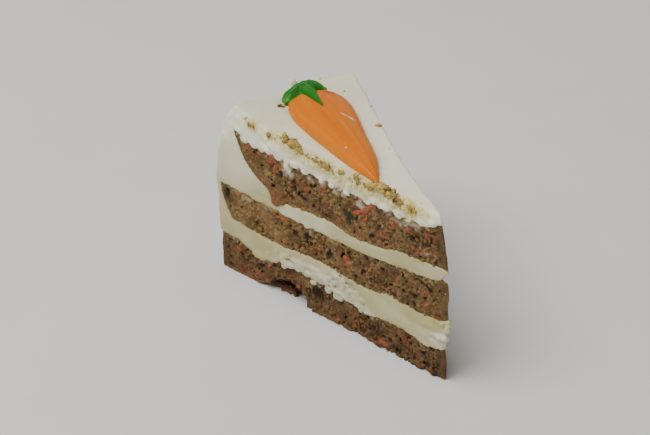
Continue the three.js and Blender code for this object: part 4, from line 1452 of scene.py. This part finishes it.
# ---- The pieces ----


def dress(piece, material, node):
    """Gives a piece its material, hangs it under the root, and hides the part's piece that it replaces."""
    piece.data.materials.append(material)
    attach(piece, "root")
    if node:
        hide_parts(node)


# Colours are 0 to 255 screen values: a sponge's dark, middle and light, a cream's plain, warm and torn.
crumb_brown = sponge_material("sponge", (57, 37, 20), (111, 84, 50), (167, 138, 88))
# The filling's torn colour is darker than its plain one: painted shade between its torn lumps.
filling_cream = cream_material("filling", (240, 234, 206), (187, 177, 123), (192, 188, 165))
# The frosting's warm colour is darker as well as yellower: where the coat's yellowness runs high it is
# painted shade.
frosting_cream = cream_material("frosting", (252, 247, 221), (190, 181, 131), (255, 251, 224))
orange_icing = icing_material(
    "orange_icing",
    body=(218, 110, 2),
    edge=(210, 134, 34),
    streak=(222, 136, 28),
    mark=(186, 50, 20),
    edge_share=0.7,
)
green_icing = icing_material(
    "green_icing",
    body=(43, 121, 36),
    edge=(36, 108, 26),
    streak=(28, 94, 24),
    mark=(120, 160, 44),
    edge_share=0.35,
)

SPONGE = (SPONGE_PAINT, crumb_brown, "sponge")
FILLING = (CREAM_PAINT, filling_cream, "filling")
COAT = (CREAM_PAINT, frosting_cream, "frosting")
FINE = 0.1  # how far OpenVDB may simplify what is flat: 0 not at all, 1 as far as it can
FINEST = 0.05
SMALLEST_CRUMB = 24  # in points

for name, make, node, (channels, material, slot) in (
    ("sponge_bottom_crumb", bottom_sponge, "sponge_bottom", SPONGE),
    ("sponge_middle_crumb", middle_sponge, "sponge_middle", SPONGE),
    ("sponge_top_crumb", top_sponge, "sponge_top", SPONGE),
    ("lower_cream", lower_filling, "filling_lower", FILLING),
    ("upper_cream", upper_filling, "filling_upper", FILLING),
    ("cream_coat", frosting, "frosting", COAT),
):
    dress(block_object(name, make(), FINE, channels), material, node)

loose = block_object("loose_crumbs", crumbs(), FINEST, {"crumb": ("tone", "dark")}, SMALLEST_CRUMB)
dress(loose, crumb_material(), None)

points, triangles, quads, paint = carrot()
piped_carrot = mesh_object("piped_carrot", points, triangles, quads, {"stroke": paint})
dress(piped_carrot, orange_icing, "carrot")

piped_leaf = block_object("piped_leaf", leaf(), FINEST, {"stroke": ("edge", "along", "across", "yellow")})
dress(piped_leaf, green_icing, "leaf")

# ---- Floor, light and camera ----

FLOOR_REACH = 1.5  # from here on in metres
floor_mesh = bpy.data.meshes.new("floor")
corners = [(-FLOOR_REACH, -FLOOR_REACH, 0), (FLOOR_REACH, -FLOOR_REACH, 0)]
corners += [(FLOOR_REACH, FLOOR_REACH, 0), (-FLOOR_REACH, FLOOR_REACH, 0)]
floor_mesh.from_pydata(corners, [], [(0, 1, 2, 3)])
floor = bpy.data.objects.new("floor", floor_mesh)
bpy.context.scene.collection.objects.link(floor)
pale = Recipe("pale_floor")
pale_grey = pale.mix(pale.noise(40), linear(226, 224, 220), linear(232, 230, 226))
pale.set(base_color=pale_grey, roughness=0.7)
floor.data.materials.append(pale.material)

TARGET = Vector((-0.00743, 0.01463, 0.0381))


def soft_light(name, place, size, power):
    """A square soft box that faces the cake."""
    data = bpy.data.lights.new(name, "AREA")
    data.size = size
    data.energy = power
    light = bpy.data.objects.new(name, data)
    light.location = place
    light.rotation_euler = (TARGET - Vector(place)).to_track_quat("-Z", "Y").to_euler()
    bpy.context.scene.collection.objects.link(light)


soft_light("overhead", (-0.6, 0.15, 1.45), 1.1, 24.5)
soft_light("window", (1.3, 1.1, 0.8), 1.0, 1)
soft_light("fill", (-0.95, 0.3, 0.55), 0.9, 1.2)

world = bpy.data.worlds.new("studio")
world.use_nodes = True
world.node_tree.nodes["Background"].inputs["Color"].default_value = linear(238, 238, 237)
world.node_tree.nodes["Background"].inputs["Strength"].default_value = 0.34
bpy.context.scene.world = world

AZIMUTH = math.radians(-33.41)
ELEVATION = math.radians(33.51)
DISTANCE = 0.879
camera_data = bpy.data.cameras.new("camera")
camera_data.lens = 120
camera_data.sensor_width = 36
camera = bpy.data.objects.new("camera", camera_data)
towards = Vector(
    (
        math.sin(AZIMUTH) * math.cos(ELEVATION),
        -math.cos(AZIMUTH) * math.cos(ELEVATION),
        math.sin(ELEVATION),
    )
)
camera.location = TARGET + DISTANCE * towards
camera.rotation_euler = (-towards).to_track_quat("-Z", "Y").to_euler()
bpy.context.scene.collection.objects.link(camera)
bpy.context.scene.camera = camera
